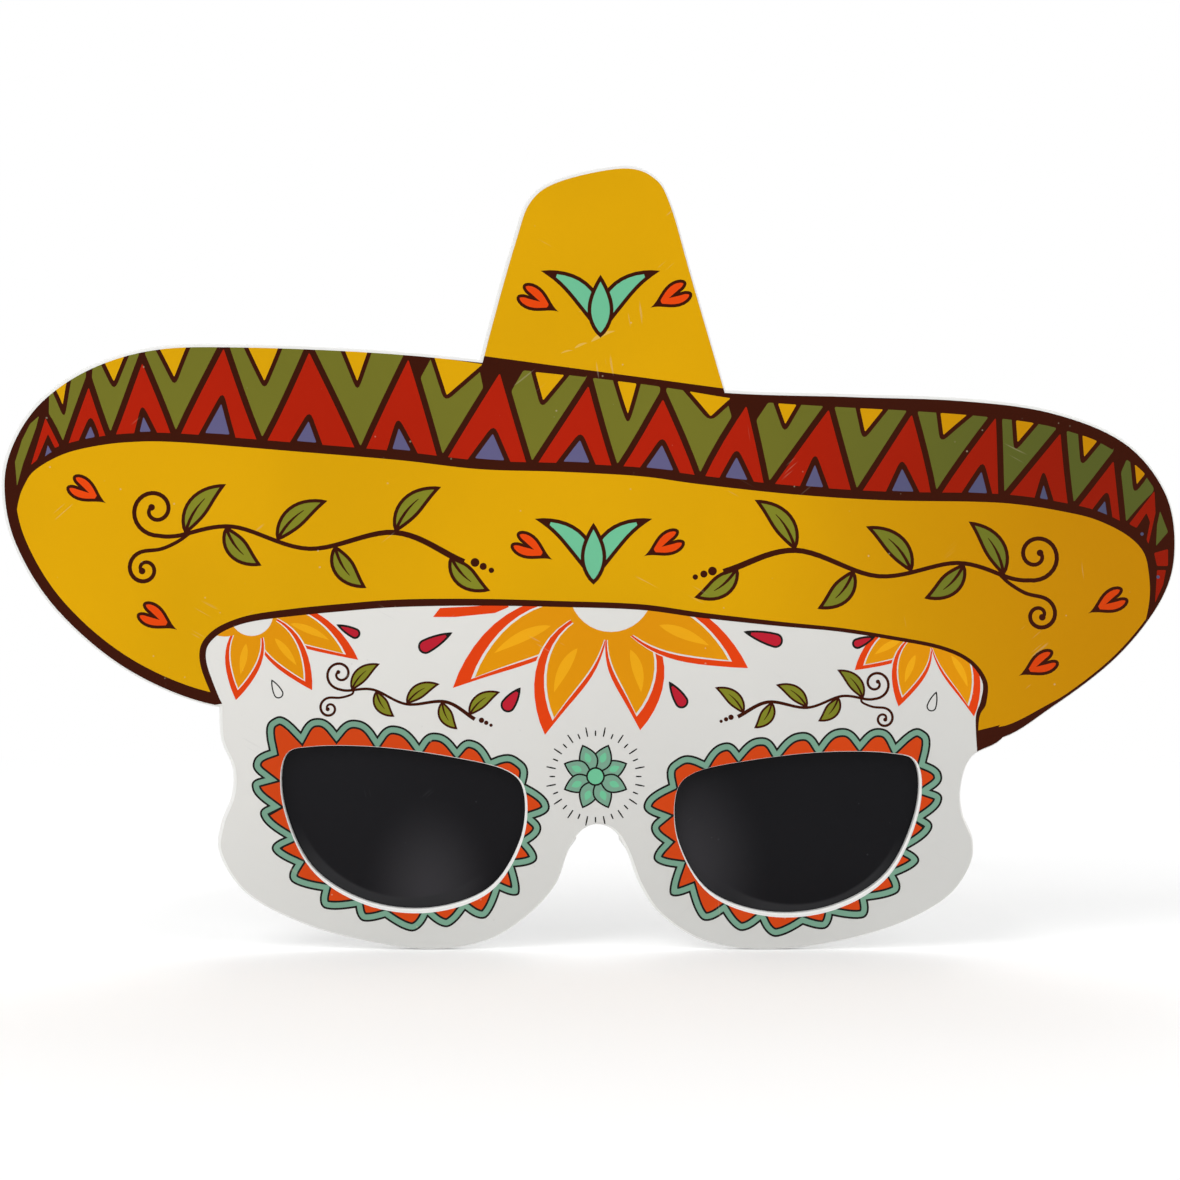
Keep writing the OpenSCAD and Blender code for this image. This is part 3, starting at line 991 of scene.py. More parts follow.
@dataclass
class PrintSheet:
    """The print on the film's front. u runs across from the middle between the eyes, v up, in mm."""

    middle: float = field(init=False)
    front: float = field(init=False)
    edge: Plane = field(init=False)
    eyes: list[Plane] = field(init=False)
    shapes: list[Plane] = field(init=False)
    coats: dict[int, Coat] = field(default_factory=dict)
    ink_t: float = 0.02

    def __post_init__(self) -> None:
        """Read the film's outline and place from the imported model."""
        lens_low, lens_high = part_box("right_lens")[0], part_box("left_lens")[1]
        self.middle = (lens_low.x + lens_high.x) / 2 / MM
        self.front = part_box("print_film")[0].y / MM
        loops = [loop - np.array([self.middle, 0.0]) for loop in face_loops("print_film", Axis.Y)]
        self.edge = loops[0]
        self.eyes = sorted((loop[::-1] for loop in loops[1:]), key=lambda eye: eye[:, 0].mean())
        self.shapes = [self.edge, *self.eyes]

    def add_shape(self, shape: Plane) -> int:
        """Keep a shape and give back its number."""
        self.shapes.append(shape)
        return len(self.shapes) - 1

    def paint(self, ink: Ink, shape: Plane, mask: int | None = None) -> None:
        """Paint a closed outline over what is there, cut to the shape with the mask's number."""
        if len(shape) > 2:
            self.coats[self.add_shape(shape)] = Coat(ink, mask)

    def outlined(self, shape: Plane, fill: Ink, line: float, edge: Ink = Ink.BROWN) -> None:
        """Paint a shape with a line round its inside.

        Args:
            shape: Closed outline of line and fill together.
            fill: Ink of the fill.
            line: Width of the line.
            edge: Ink of the line.
        """
        shape = counterclockwise(shape)
        self.paint(edge, shape)
        self.paint(fill, shifted(shape, line))

    def ink_on(self, holders: set[int]) -> Ink:
        """Ink that shows on a triangle.

        Args:
            holders: Numbers of the shapes that hold it. 0 is the film, 1 and 2 are its openings.

        Returns:
            The ink, or BARE.
        """
        if 0 in holders and not holders & {1, 2}:
            for shape in sorted(holders, reverse=True):
                coat = self.coats.get(shape)
                if coat and (coat.mask is None or coat.mask in holders):
                    return coat.ink
        return Ink.BARE

    def layer(self, points: Sequence[Vector], triangles: Sequence[Sequence[int]], name: str) -> Mesh:
        """Thin closed layer over some triangles of the sheet.

        Args:
            points: Points of the whole sheet.
            triangles: The layer's own triangles.
            name: Name of the mesh.

        Returns:
            The mesh.
        """
        bm = bmesh.new()
        fronts, backs = {}, {}
        for i in sorted({i for t in triangles for i in t}):
            across = (points[i].x + self.middle, points[i].y)
            fronts[i] = bm.verts.new(Axis.Y.point(across, self.front - self.ink_t))
            backs[i] = bm.verts.new(Axis.Y.point(across, self.front))
        edges = set()
        for a, b, c in triangles:
            bm.faces.new((fronts[a], fronts[b], fronts[c]))
            bm.faces.new((backs[c], backs[b], backs[a]))
            edges |= {(a, b), (b, c), (c, a)}
        for a, b in sorted(edges):
            if (b, a) not in edges:
                bm.faces.new((fronts[b], fronts[a], backs[a], backs[b]))
        return finished(bm, name)

    def build(self, surface: SurfaceGroup) -> None:
        """Divide the sheet among the inks and make each ink's layer.

        Args:
            surface: The shared group of marks.
        """
        points, triangles, holders = triangles_of(self.shapes)
        covered: dict[Ink, list[list[int]]] = {ink: [] for ink in Ink}
        for triangle, holder in zip(triangles, holders):
            covered[self.ink_on(set(holder))].append(triangle)
        for ink in [ink for ink in Ink if ink is not Ink.BARE and covered[ink]]:
            mesh = self.layer(points, covered[ink], f"print_{ink.name.lower()}")
            settle(add_piece(mesh, ink.finish.material(surface)), "front")


@dataclass
class Garland:
    """A leafy stem with curls at one end and berries at the other, laid out about its own middle."""

    length: float
    leaf_l: float
    leaf_w: float
    line: float
    leaves: int = 6

    def paint(self, sheet: PrintSheet, at: Point, turn: float, mirror: bool) -> None:
        """Paint the garland.

        Args:
            sheet: The print.
            at: Where its middle goes.
            turn: Its turn in degrees.
            mirror: Whether the curls are at its right end.
        """
        flip = np.array([-1.0 if mirror else 1.0, 1.0])
        for shape, is_leaf in self._shapes():
            lying = placed(shape * flip, at, turn)
            if is_leaf:
                sheet.outlined(lying, Ink.LEAF, self.line * 0.8)
            else:
                sheet.paint(Ink.BROWN, lying)

    def _shapes(self) -> Iterator[tuple[Plane, bool]]:
        """Lay out the garland.

        Returns:
            Its shapes in the order of painting, and whether each one is a leaf.
        """
        half, rise = self.length / 2, self.length
        knots = ((-1, 0.0), (-0.86, 0.0), (-0.5, 0.035), (0, -0.03), (0.55, 0.03), (1, -0.06))
        stem = curve([(u * half, v * rise) for u, v in knots], 10)
        for i in range(self.leaves):
            root = stem[int((0.24 + 0.72 * i / (self.leaves - 1)) * (len(stem) - 1))]
            upward = 1 if i % 2 == 0 else -1
            tip = root + self.leaf_l * (1.0 if upward > 0 else 0.82) * ray(upward * (52 - 6 * (i % 3)))
            yield leaf(root, tip, self.leaf_w, 0.12 * upward), True
            yield vein(root, tip, 0.12 * upward, self.line * 0.8), False
        for shape in self._stem(stem):
            yield shape, False
        for k in range(3):
            berry = (half + (1.0 + 0.75 * k) * self.line * 2.6, (-0.06 - 0.012 * k) * rise)
            yield disc(berry, self.line * (1.05 - 0.2 * k), 14), False

    def _stem(self, stem: Plane) -> Iterator[Plane]:
        """Lay out the stem, which winds up into one curl, and the smaller curl that branches off below.

        Args:
            stem: The stem's middle line from the curls' end.

        Returns:
            The shapes.
        """
        line = self.line
        radius = self.leaf_l * 0.39
        small = radius * 0.72
        u, v = stem[0]
        upper = spiral((u, v + radius), -90.0, -1.35, radius)
        yield ribbon(np.vstack([upper[:0:-1], stem]), (line * 0.9, line, line, line, line * 1.5))
        end = (u - radius * 0.35, v - radius * 0.62)
        lower = spiral((end[0], end[1] - small), 90.0, 1.35, small)
        middle = [(u + radius * 0.95, v - radius * 0.2), (u + radius * 0.3, v - radius * 0.52)]
        branch = np.vstack([curve([stem[13], *middle, end], 5)[:-1], lower])
        yield ribbon(branch, (line * 0.8, line, line * 0.8))
        for curl in (upper, lower):
            yield disc(curl[-1], line * 0.8, 12)


@dataclass
class HatPrint:
    """The hat's print: a zigzag band over a yellow brim, a plain crown, leaf ornaments and hearts.

    Points are in mm on the print's own plane. Places in the band are given by a station, which
    counts the upright teeth, and a height from 0 at the foot line to 1 at the top line.
    """

    sheet: PrintSheet
    rim_middle: Point = (-2.0, 81.0)
    # Direction from the brim's middle in degrees, and the brown rim's width there; below 0 there is none
    rim_stops: tuple[Point, ...] = (
        (-28.5, 3.4), (-26.5, 3.2), (-24.5, 2.0), (-18, 0.5), (-6, 0.5), (0, 1.3), (20, 1.3), (48, 1.2),
        (50, -0.6), (161.5, -0.6), (164.5, 2.0), (175, 2.1), (190, 2.0), (203, 2.3),
    )
    # Foot line and top line of the band at stations from -1 on
    foot: tuple[Point, ...] = (
        (-117.5, 90.0), (-110.9, 98.0), (-103.0, 101.0), (-91.3, 102.3), (-76.5, 101.8), (-57.7, 100.0),
        (-39.1, 98.4), (-21.3, 96.5), (-3.3, 96.1), (13.3, 94.7), (27.5, 92.9), (42.9, 91.3), (59.5, 90.4),
        (74.3, 90.2), (88.1, 89.1), (100.3, 86.2), (108.5, 81.0), (110.8, 73.0), (110.2, 65.0),
    )
    top: tuple[Point, ...] = (
        (-118.0, 101.5), (-110.7, 110.3), (-102.0, 116.5), (-91.5, 120.0), (-75.1, 121.2), (-58.1, 120.9),
        (-38.1, 119.7), (-19.7, 117.2), (-1.9, 115.2), (12.7, 113.3), (29.7, 110.6), (46.1, 109.4),
        (62.7, 108.5), (79.5, 107.1), (92.7, 104.8), (103.5, 100.3), (111.6, 92.5), (114.6, 80.5),
        (113.5, 70.0),
    )
    # Heights where the sides of each upright tooth meet, and stations where hanging teeth meet the foot line
    peaks: tuple[float, ...] = (
        0.73, 0.86, 0.94, 1.03, 1.0, 1.0, 0.98, 0.95, 0.9, 0.98, 1.0, 1.0, 1.06, 1.0, 0.93, 0.88,
    )
    feet: tuple[float, ...] = (
        0.5, 1.48, 2.47, 3.49, 4.53, 5.42, 6.42, 7.39, 8.47, 9.41, 10.5, 11.5, 12.43, 13.49, 14.48,
    )
    # Yellow wedge in each hanging tooth: its left end, its tip's station and height, its right end, and the
    # height of its line's tip
    wedges: tuple[tuple[float, ...], ...] = (
        (0.24, 0.43, 0.68, 0.5, 0.53), (1.3, 1.52, 0.7, 1.73, 0.58), (2.23, 2.43, 0.66, 2.57, 0.54),
        (3.27, 3.5, 0.63, 3.67, 0.52), (4.35, 4.49, 0.68, 4.6, 0.6), (5.27, 5.43, 0.63, 5.8, 0.55),
        (6.38, 6.49, 0.68, 6.7, 0.61), (7.37, 7.52, 0.62, 7.64, 0.53), (8.32, 8.58, 0.72, 8.8, 0.63),
        (9.37, 9.5, 0.73, 9.6, 0.64), (10.37, 10.48, 0.7, 10.65, 0.61), (11.33, 11.42, 0.71, 11.64, 0.58),
        (12.28, 12.4, 0.7, 12.55, 0.55), (13.35, 13.47, 0.7, 13.62, 0.52), (14.4, 14.53, 0.72, 14.65, 0.55),
    )
    # Violet wedge in each upright tooth, from the left one on, given in the same way
    gems: tuple[tuple[float, ...], ...] = (
        (0.0, 0.07, 0.2, 0.18, 0.43), (1.0, 1.1, 0.22, 1.2, 0.41), (1.95, 2.01, 0.24, 2.12, 0.4),
        (2.85, 3.02, 0.38, 3.14, 0.56), (3.85, 3.98, 0.27, 4.06, 0.37), (4.87, 4.93, 0.27, 5.07, 0.36),
        (5.79, 5.97, 0.32, 6.12, 0.39), (6.77, 6.94, 0.3, 7.07, 0.38), (7.75, 7.96, 0.33, 8.1, 0.42),
        (8.83, 8.95, 0.31, 9.13, 0.41), (9.88, 9.95, 0.31, 10.1, 0.41), (10.92, 11.0, 0.32, 11.2, 0.44),
        (11.93, 12.03, 0.32, 12.2, 0.47), (12.97, 12.97, 0.24, 13.1, 0.38), (13.9, 14.0, 0.25, 14.1, 0.39),
    )
    # The band's last pieces at both ends, where it narrows round the brim
    ends: tuple[tuple[Ink, tuple[Point, ...]], ...] = (
        (Ink.OLIVE, ((-112.1, 106.7), (-113.9, 105.1), (-115.5, 101.9), (-116.9, 97.5), (-116.5, 92.7),
                     (-115.3, 97.1), (-112.7, 104.3))),
        (Ink.RED, ((-113.7, 96.9), (-110.8, 106.3), (-108.0, 100.7), (-108.9, 100.3), (-110.3, 103.1),
                   (-112.5, 97.9))),
        (Ink.RED, ((111.0, 91.7), (111.2, 87.3), (109.8, 81.1), (109.4, 81.9), (110.1, 85.5), (109.4, 87.3),
                   (107.4, 84.3), (105.9, 85.1))),
        (Ink.OLIVE, ((112.1, 87.7), (113.7, 83.5), (111.3, 80.7), (111.5, 84.9))),
        (Ink.RED, ((110.9, 79.3), (113.7, 80.1), (113.7, 76.7), (111.5, 76.7))),
        (Ink.RED, ((111.5, 75.9), (113.3, 75.9), (112.7, 72.9), (111.1, 69.3))),
    )
    # Band line, from the left rim to the right rim
    band_line: tuple[Point, ...] = (
        (-117.6, 84.0), (-116.9, 89.5), (-115.7, 93.0), (-113.4, 96.3), (-108.1, 99.4), (-102.1, 101.1),
        (-94.3, 102.1), (-84.1, 102.1), (-61.3, 100.3), (-39.9, 98.5), (-23.9, 96.7), (-7.9, 96.2),
        (8.1, 95.3), (20.1, 93.7), (38.5, 91.7), (56.9, 90.5), (75.1, 90.2), (84.3, 89.6), (93.5, 88.1),
        (99.7, 86.5), (105.7, 83.5), (109.3, 79.9), (110.5, 75.3), (110.6, 69.7), (109.0, 63.0),
        (105.0, 55.0),
    )
    # Line under the brim, over the face, and its widths from left to right
    under_line: tuple[Point, ...] = (
        (-75.9, 48.9), (-76.9, 50.8), (-79.0, 56.3), (-79.3, 59.9), (-77.9, 62.4), (-74.9, 64.5),
        (-69.9, 66.2), (-61.9, 67.35), (-51.9, 68.35), (-39.9, 69.25), (-23.9, 69.45), (-7.9, 69.1),
        (8.1, 68.5), (20.1, 66.9), (35.3, 65.2), (47.7, 64.0), (58.1, 62.4), (67.9, 60.5), (73.9, 57.8),
        (77.0, 53.7), (76.8, 49.5), (75.6, 46.3), (75.6, 39.0),
    )
    under_widths: tuple[float, ...] = (1.0, 1.3, 1.3, 1.3, 1.5, 1.5, 1.2, 1.1, 0.8, 0.75, 0.8, 1.2, 0.1)
    crown_line: tuple[Point, Point] = ((-24.6, 118.2), (24.9, 111.5))
    crown_lift: float = 0.7
    crown_top: float = 170.0
    # Creases: start, end and width
    creases: tuple[tuple[Point, Point, float], ...] = (
        ((-7.7, 119.2), (-5.3, 119.8), 0.3), ((-5.0, 120.2), (-2.4, 121.3), 0.5),
        ((-1.7, 121.5), (3.2, 123.7), 0.8), ((-4.2, 127.5), (-0.6, 127.7), 0.25),
    )
    # Hearts: middle and tip
    hearts: tuple[tuple[Point, Point], ...] = (
        ((-12.7, 130.0), (-8.1, 127.5)), ((14.7, 130.7), (10.1, 128.3)),
        ((-13.9, 80.4), (-9.3, 77.9)), ((13.3, 81.0), (8.8, 78.6)),
        ((-102.9, 91.8), (-98.6, 89.2)), ((-88.8, 66.4), (-84.4, 63.9)),
        ((102.1, 69.5), (97.7, 67.2)), ((88.2, 57.0), (83.8, 54.7)),
    )
    # Sprigs: foot and height. Garlands: middle, turn, and whether the curls are at the right end
    sprigs: tuple[tuple[Point, float], ...] = (((0.2, 123.0), 13.0), ((-1.2, 73.6), 12.8))
    garlands: tuple[tuple[Point, float, bool], ...] = (
        ((-58.0, 82.0), -1.5, False), ((56.0, 76.5), -5.0, True),
    )
    line_below: float = 0.65
    line_above: float = 1.1
    cell_gap: float = 0.62
    cell_r: float = 0.45
    wedge_line: float = 0.85
    wedge_r: float = 0.35
    gem_line: float = 1.0
    tip_r: float = 2.0
    band_h: float = 18.5
    # The first wedges run over the film's edge, and the others end at these heights
    open_wedges: int = 5
    open_top: float = 1.14
    closed_tops: Point = (1.005, 0.99)
    far: float = 140.0

    def rim_mask(self) -> int:
        """Draw the film's outline in by the brown rim and keep it as a mask.

        Returns:
            The mask's number.
        """
        edge = self.sheet.edge
        du, dv = edge[:, 0] - self.rim_middle[0], edge[:, 1] - self.rim_middle[1]
        angle = (np.degrees(np.arctan2(dv, du)) + 90) % 360 - 90
        return self.sheet.add_shape(shifted(edge, np.interp(angle, *np.array(self.rim_stops).T)))

    def paint(self) -> None:
        """Paint the whole hat over what is there."""
        mask = self.rim_mask()
        above, below = banks(curve(self.under_line), self.under_widths, reach=1.2)
        far = self.far
        self.sheet.paint(Ink.BROWN, np.vstack([below, [(far, 20), (far, 200), (-far, 200), (-far, 40)]]))
        self._band()
        line = curve(self.band_line)
        low = shifted(line, -self.line_below, closed=False)
        high = shifted(line, self.line_above, closed=False)
        self.sheet.paint(Ink.BROWN, np.vstack([low, high[::-1]]))
        brim = np.vstack([low, [(far, 50), (far, 20)], above[::-1], [(-far, 30), (-far, 84)]])
        self.sheet.paint(Ink.YELLOW, brim, mask)
        self._ends()
        self._crown()
        self._ornaments()

    def _spot(self, s: float, h: float) -> Plane:
        """Point of the band.

        Args:
            s: Its station.
            h: Its height, from the foot line at 0 to the top line at 1.

        Returns:
            The point in mm.
        """
        i = max(1, min(len(self.foot) - 3, math.floor(s) + 1))
        low, high = (through(*np.array(line[i - 1:i + 3]), s + 1 - i) for line in (self.foot, self.top))
        return low + (high - low) * h

    def _cell(self, corners: Sequence[Point]) -> Plane:
        """Closed outline through places of the band.

        Args:
            corners: Station and height of each corner.

        Returns:
            The outline in mm.
        """
        spots = []
        for (s0, h0), (s1, h1) in zip(corners, [*corners[1:], corners[0]]):
            spots += [self._spot(s0 + (s1 - s0) * k / 4, h0 + (h1 - h0) * k / 4) for k in range(4)]
        return counterclockwise(np.array(spots))

    def _tooth(self, ink: Ink, corners: Sequence[Point]) -> None:
        """Paint one tooth of the band, clear of its neighbours and with round corners."""
        self.sheet.paint(ink, softened(shifted(self._cell(corners), self.cell_gap), self.cell_r))

    def _band(self) -> None:
        """The zigzag band: hanging olive teeth and upright red teeth, each with a wedge of its own."""
        for i, wedge in enumerate(self.wedges):
            is_open = i < self.open_wedges
            top = self.open_top if is_open else self.closed_tops[min(i - self.open_wedges, 1)]
            foot = self.feet[i]
            corners = [(foot, 0.0)]
            for station, peak in ((i + 1, self.peaks[i + 1]), (i, self.peaks[i])):
                share = min(1.0, top / peak)
                side = [(foot + (station - foot) * share, peak * share)]
                if share == 1.0:
                    side.append((float(station), top))
                corners += side if station > foot else side[::-1]
            self._tooth(Ink.OLIVE, corners)
            self._hanging_wedge(wedge, is_open, top)
        for i, (left, tip, tip_h, right, line_h) in enumerate(self.gems[1:], 1):
            self._tooth(Ink.RED, [(self.feet[i - 1], 0.0), (self.feet[i], 0.0), (float(i), self.peaks[i])])
            corners = [(tip, tip_h), (left, 0.07), (right, 0.07)]
            self._lined(corners, Ink.VIOLET, self.gem_line, line_h - tip_h)

    def _hanging_wedge(self, wedge: Sequence[float], is_open: bool, top: float) -> None:
        """Yellow wedge with its line in a hanging tooth.

        Args:
            wedge: Its places, as in the table.
            is_open: Whether it runs over the film's edge.
            top: Height where the tooth ends.
        """
        left, tip, tip_h, right, line_h = wedge
        level = 1.0 if is_open else top - 0.035
        rise = (self.open_top - tip_h) / (level - tip_h) if is_open else 1.0
        end_h = self.open_top if is_open else level
        corners = [(tip, tip_h), (tip + (right - tip) * rise, end_h), (tip + (left - tip) * rise, end_h)]
        self._lined(corners, Ink.YELLOW, self.wedge_line, tip_h - line_h)

    def _lined(self, corners: Sequence[Point], ink: Ink, line: float, ahead: float) -> None:
        """Paint a wedge with a brown line round its outside, round at the wedge's tip.

        Args:
            corners: Station and height of each corner, the tip first.
            ink: The wedge's ink.
            line: Width of the line in mm.
            ahead: How far the line runs past the wedge's tip, as a height in the band.
        """
        wedge = self._cell(corners)
        reach = (ahead * self.band_h + self.tip_r * 0.4) / line
        around = wedge - side_steps(wedge, closed=True, reach=max(1.0, reach)) * line
        near = np.linalg.norm(around - self._spot(*corners[0]), axis=1) < 4.0
        self.sheet.paint(Ink.BROWN, softened(around, np.where(near, self.tip_r, 0.2)))
        self.sheet.paint(ink, softened(wedge, self.wedge_r))

    def _ends(self) -> None:
        """The band's last pieces at both ends, and the brown corner under the right end."""
        for ink, shape in self.ends:
            self.sheet.paint(ink, softened(counterclockwise(np.array(shape)), 0.3))
        left, tip, tip_h, right = self.gems[0][:4]
        self.sheet.paint(Ink.VIOLET, self._cell([(left, 0.05), (right, 0.05), (tip, tip_h)]))
        for spot in ((111.7, 74.5), (108.5, 83.1)):
            self.sheet.paint(Ink.VIOLET, disc(spot, 0.35, 8))
        self.sheet.paint(Ink.BROWN, np.array([(75.3, 43.7), (76.1, 39.7), (80.1, 44.9)]))

    def _crown(self) -> None:
        """Yellow crown over its foot line, with a few small creases in its laminate."""
        (u0, v0), (u1, v1) = self.crown_line
        lift, top = self.crown_lift, self.crown_top
        self.sheet.paint(Ink.YELLOW, np.array([(u0, v0 + lift), (u1, v1 + lift), (u1, top), (u0, top)]))
        for start, end, width in self.creases:
            self.sheet.paint(Ink.CREASE, leaf(start, end, width, 0.08))

    def _sprig(self, foot: Point, size: float) -> None:
        """Three aqua leaves that fan out from one foot.

        Args:
            foot: Where they start.
            size: Height of the middle leaf in mm.
        """
        u, v = foot
        for base, tip, width, bend in (
            ((u, v), (u - size * 0.92, v + size * 0.98), 0.36, -0.17),
            ((u, v), (u + size * 0.92, v + size * 0.98), 0.36, 0.17),
            ((u, v - size * 0.05), (u, v + size * 0.92), 0.4, 0.0),
        ):
            self.sheet.outlined(leaf(base, tip, size * width, bend), Ink.AQUA, 0.75)

    def _ornaments(self) -> None:
        """Sprigs, hearts and garlands."""
        for foot, size in self.sprigs:
            self._sprig(foot, size)
        for at, tip in self.hearts:
            self.sheet.outlined(heart(at, tip), Ink.CORAL, 0.62)
        garland = Garland(length=62.0, leaf_l=13.0, leaf_w=4.6, line=0.85)
        for at, turn, mirror in self.garlands:
            garland.paint(self.sheet, at, turn, mirror)


@dataclass(frozen=True)
class Petal:
    """A marigold's petal: its direction in degrees, length, sideways bow, and whether its edge is red."""

    turn: float
    length: float
    bow: float
    edged: bool = True


@dataclass(frozen=True)
class Flower:
    """Part of a marigold whose middle lies under the brim, with a bare disc there.

    The petals start at one point, and the disc has a middle and a radius of its own.
    """

    at: Point
    petal_w: float
    middle: Point
    middle_r: float
    petals: tuple[Petal, ...]


@dataclass
class FacePrint:
    """The face's print: petals under the brim, small garlands, drops, a rosette and scalloped eye rings."""

    sheet: PrintSheet
    # Ring round the wearer's left opening, clockwise: each outer tip with the hollow that follows it
    scallops: tuple[tuple[float, float, float, float], ...] = (
        (15.2, 38.0, 20.9, 37.9), (24.5, 41.3, 27.9, 39.9), (32.1, 42.5, 35.5, 40.3),
        (40.1, 43.5, 43.9, 41.3), (48.1, 44.3, 52.1, 42.1), (56.1, 44.3, 59.3, 41.5),
        (64.9, 43.8, 65.5, 37.5), (68.5, 34.9, 66.7, 31.9), (68.5, 29.7, 65.3, 26.3),
        (66.3, 23.7, 61.7, 20.1), (63.9, 17.5, 59.5, 14.7), (59.7, 11.3, 53.7, 9.7),
        (52.9, 6.3, 46.7, 6.7), (45.1, 4.1, 40.7, 4.9), (35.1, 2.5, 32.1, 5.5),
        (28.1, 3.7, 24.7, 7.1), (20.5, 5.9, 17.9, 11.3), (14.1, 11.0, 15.1, 16.3),
        (10.9, 17.9, 12.5, 21.3), (10.3, 23.9, 11.5, 26.3), (8.9, 29.3, 13.7, 33.1),
    )
    # The other ring is this one mirrored, and then turned about a point
    mirror_u: float = -0.9
    other_pivot: Point = (-13.9, 33.9)
    other_turn: float = -2.7
    # Scallops that turn a corner, which are broader
    corners: tuple[int, ...] = (0, 6)
    corner_power: float = 3.0
    ring_w: float = 1.85
    ring_line: float = 0.4
    # Edge of a petal whose flower lies under the brim
    petal_shred: tuple[Point, ...] = (
        (-33.3, 66.5), (-28.9, 66.5), (-20.9, 67.3), (-18.1, 68.5), (-18.5, 69.1), (-26.0, 68.6),
        (-31.9, 68.3),
    )
    flowers: tuple[Flower, ...] = (
        Flower((2.1, 67.5), 11.2, (2.3, 71.9), 8.4, (
            Petal(-154.2, 34.9, -0.09), Petal(-117.9, 27.8, -0.1), Petal(-75.7, 24.4, 0.1),
            Petal(-22.1, 29.8, 0.05),
        )),
        Flower((-69.6, 67.0), 7.6, (-69.6, 67.0), 4.3, (
            Petal(-23.0, 23.2, 0.07), Petal(-51.3, 19.4, 0.04), Petal(-100.3, 17.4, 0.0),
            Petal(-163.0, 12.4, 0.0, edged=False),
        )),
        Flower((65.7, 63.9), 7.2, (66.4, 64.6), 3.6, (
            Petal(-151.3, 16.7, -0.06), Petal(-111.0, 16.4, -0.04), Petal(-62.0, 19.6, 0.1),
        )),
    )
    # Crimson drops: foot, tip and radius. Hollow drops: foot and tip
    crimson_drops: tuple[tuple[Point, Point, float], ...] = (
        ((-48.9, 63.2), (-52.6, 65.0), 1.1), ((-34.8, 60.6), (-29.4, 63.4), 1.5),
        ((-18.3, 48.9), (-15.8, 52.4), 1.5), ((16.4, 49.6), (13.9, 53.6), 1.4),
        ((35.2, 61.8), (28.8, 63.6), 1.5), ((51.6, 61.2), (55.2, 62.6), 1.1),
    )
    hollow_drops: tuple[tuple[Point, Point], ...] = (
        ((-64.2, 51.2), (-65.6, 54.0)), ((66.4, 48.6), (67.4, 51.6)),
    )
    # Garlands: middle, turn, and whether the curls are at the right end
    garlands: tuple[tuple[Point, float, bool], ...] = (
        ((-38.5, 49.9), -9.0, False), ((41.5, 49.2), 4.0, True),
    )
    rosette_at: Point = (-0.8, 34.6)
    rosette_petals: int = 8
    rosette_rays: int = 32

    def paint(self) -> None:
        """Paint the whole face."""
        self.sheet.paint(Ink.FLAME, np.array(self.petal_shred))
        for flower in self.flowers:
            self._flower(flower)
        for foot, tip, radius in self.crimson_drops:
            self.sheet.outlined(drop(foot, tip, radius), Ink.CRIMSON, 0.42, Ink.BLACK)
        for foot, tip in self.hollow_drops:
            self.sheet.outlined(drop(foot, tip, 1.0), Ink.BARE, 0.25, Ink.BLACK)
        small = Garland(length=28.0, leaf_l=7.8, leaf_w=3.0, line=0.52, leaves=5)
        for at, turn, mirror in self.garlands:
            small.paint(self.sheet, at, turn, mirror)
        self._rosette()
        ring = np.array(self.scallops).reshape(-1, 2)
        self._eye_ring(self.sheet.eyes[1], ring)
        pivot = self.other_pivot
        other = np.stack([self.mirror_u - ring[:, 0], ring[:, 1]], 1)
        self._eye_ring(self.sheet.eyes[0], placed(other - pivot, pivot, self.other_turn))

    def _flower(self, flower: Flower) -> None:
        """Paint part of a marigold.

        Args:
            flower: The marigold.
        """
        at, width = np.array(flower.at), flower.petal_w
        coats = (
            (Ink.BARE, 1.03, width + 0.5), (Ink.FLAME, 1.0, width),
            (Ink.BARE, 0.885, width * 0.83), (Ink.ORANGE, 0.86, width * 0.77),
        )
        streaks = []
        for petal in flower.petals:
            out = ray(petal.turn) * petal.length
            for ink, reach, broad in coats if petal.edged else coats[-1:]:
                self.sheet.paint(ink, leaf(at, at + out * reach, broad, petal.bow))
            side = at + np.array([-out[1], out[0]]) * petal.bow * 0.85
            streaks.append(leaf(side + out * 0.34, side + out * 0.7, width * 0.19, petal.bow * 0.5))
        self.sheet.paint(Ink.ORANGE, disc(flower.middle, flower.middle_r * 1.2, 36))
        for streak in streaks:
            self.sheet.paint(Ink.AMBER, streak)
        self.sheet.paint(Ink.BARE, disc(flower.middle, flower.middle_r, 36))

    def _rosette(self) -> None:
        """Rosette in a ring of short strokes."""
        at = np.array(self.rosette_at)
        for i in range(self.rosette_petals):
            out = ray(360 / self.rosette_petals * (i + 0.5))
            self.sheet.outlined(leaf(at + out * 0.9, at + out * 6.9, 3.9, 0.0), Ink.SAGE, 0.34, Ink.BLACK)
            self.sheet.paint(Ink.AQUA, leaf(at + out * 3.0, at + out * 5.2, 1.3, 0.0))
        self.sheet.outlined(disc(at, 1.9), Ink.AQUA, 0.36, Ink.BLACK)
        for i in range(self.rosette_rays):
            ends = np.linspace(8.1, 10.0 if i % 2 else 9.2, 3)[:, None]
            line = at + ends * ray(360 / self.rosette_rays * i)
            self.sheet.paint(Ink.BLACK, ribbon(line, (0.24, 0.3, 0.2)))

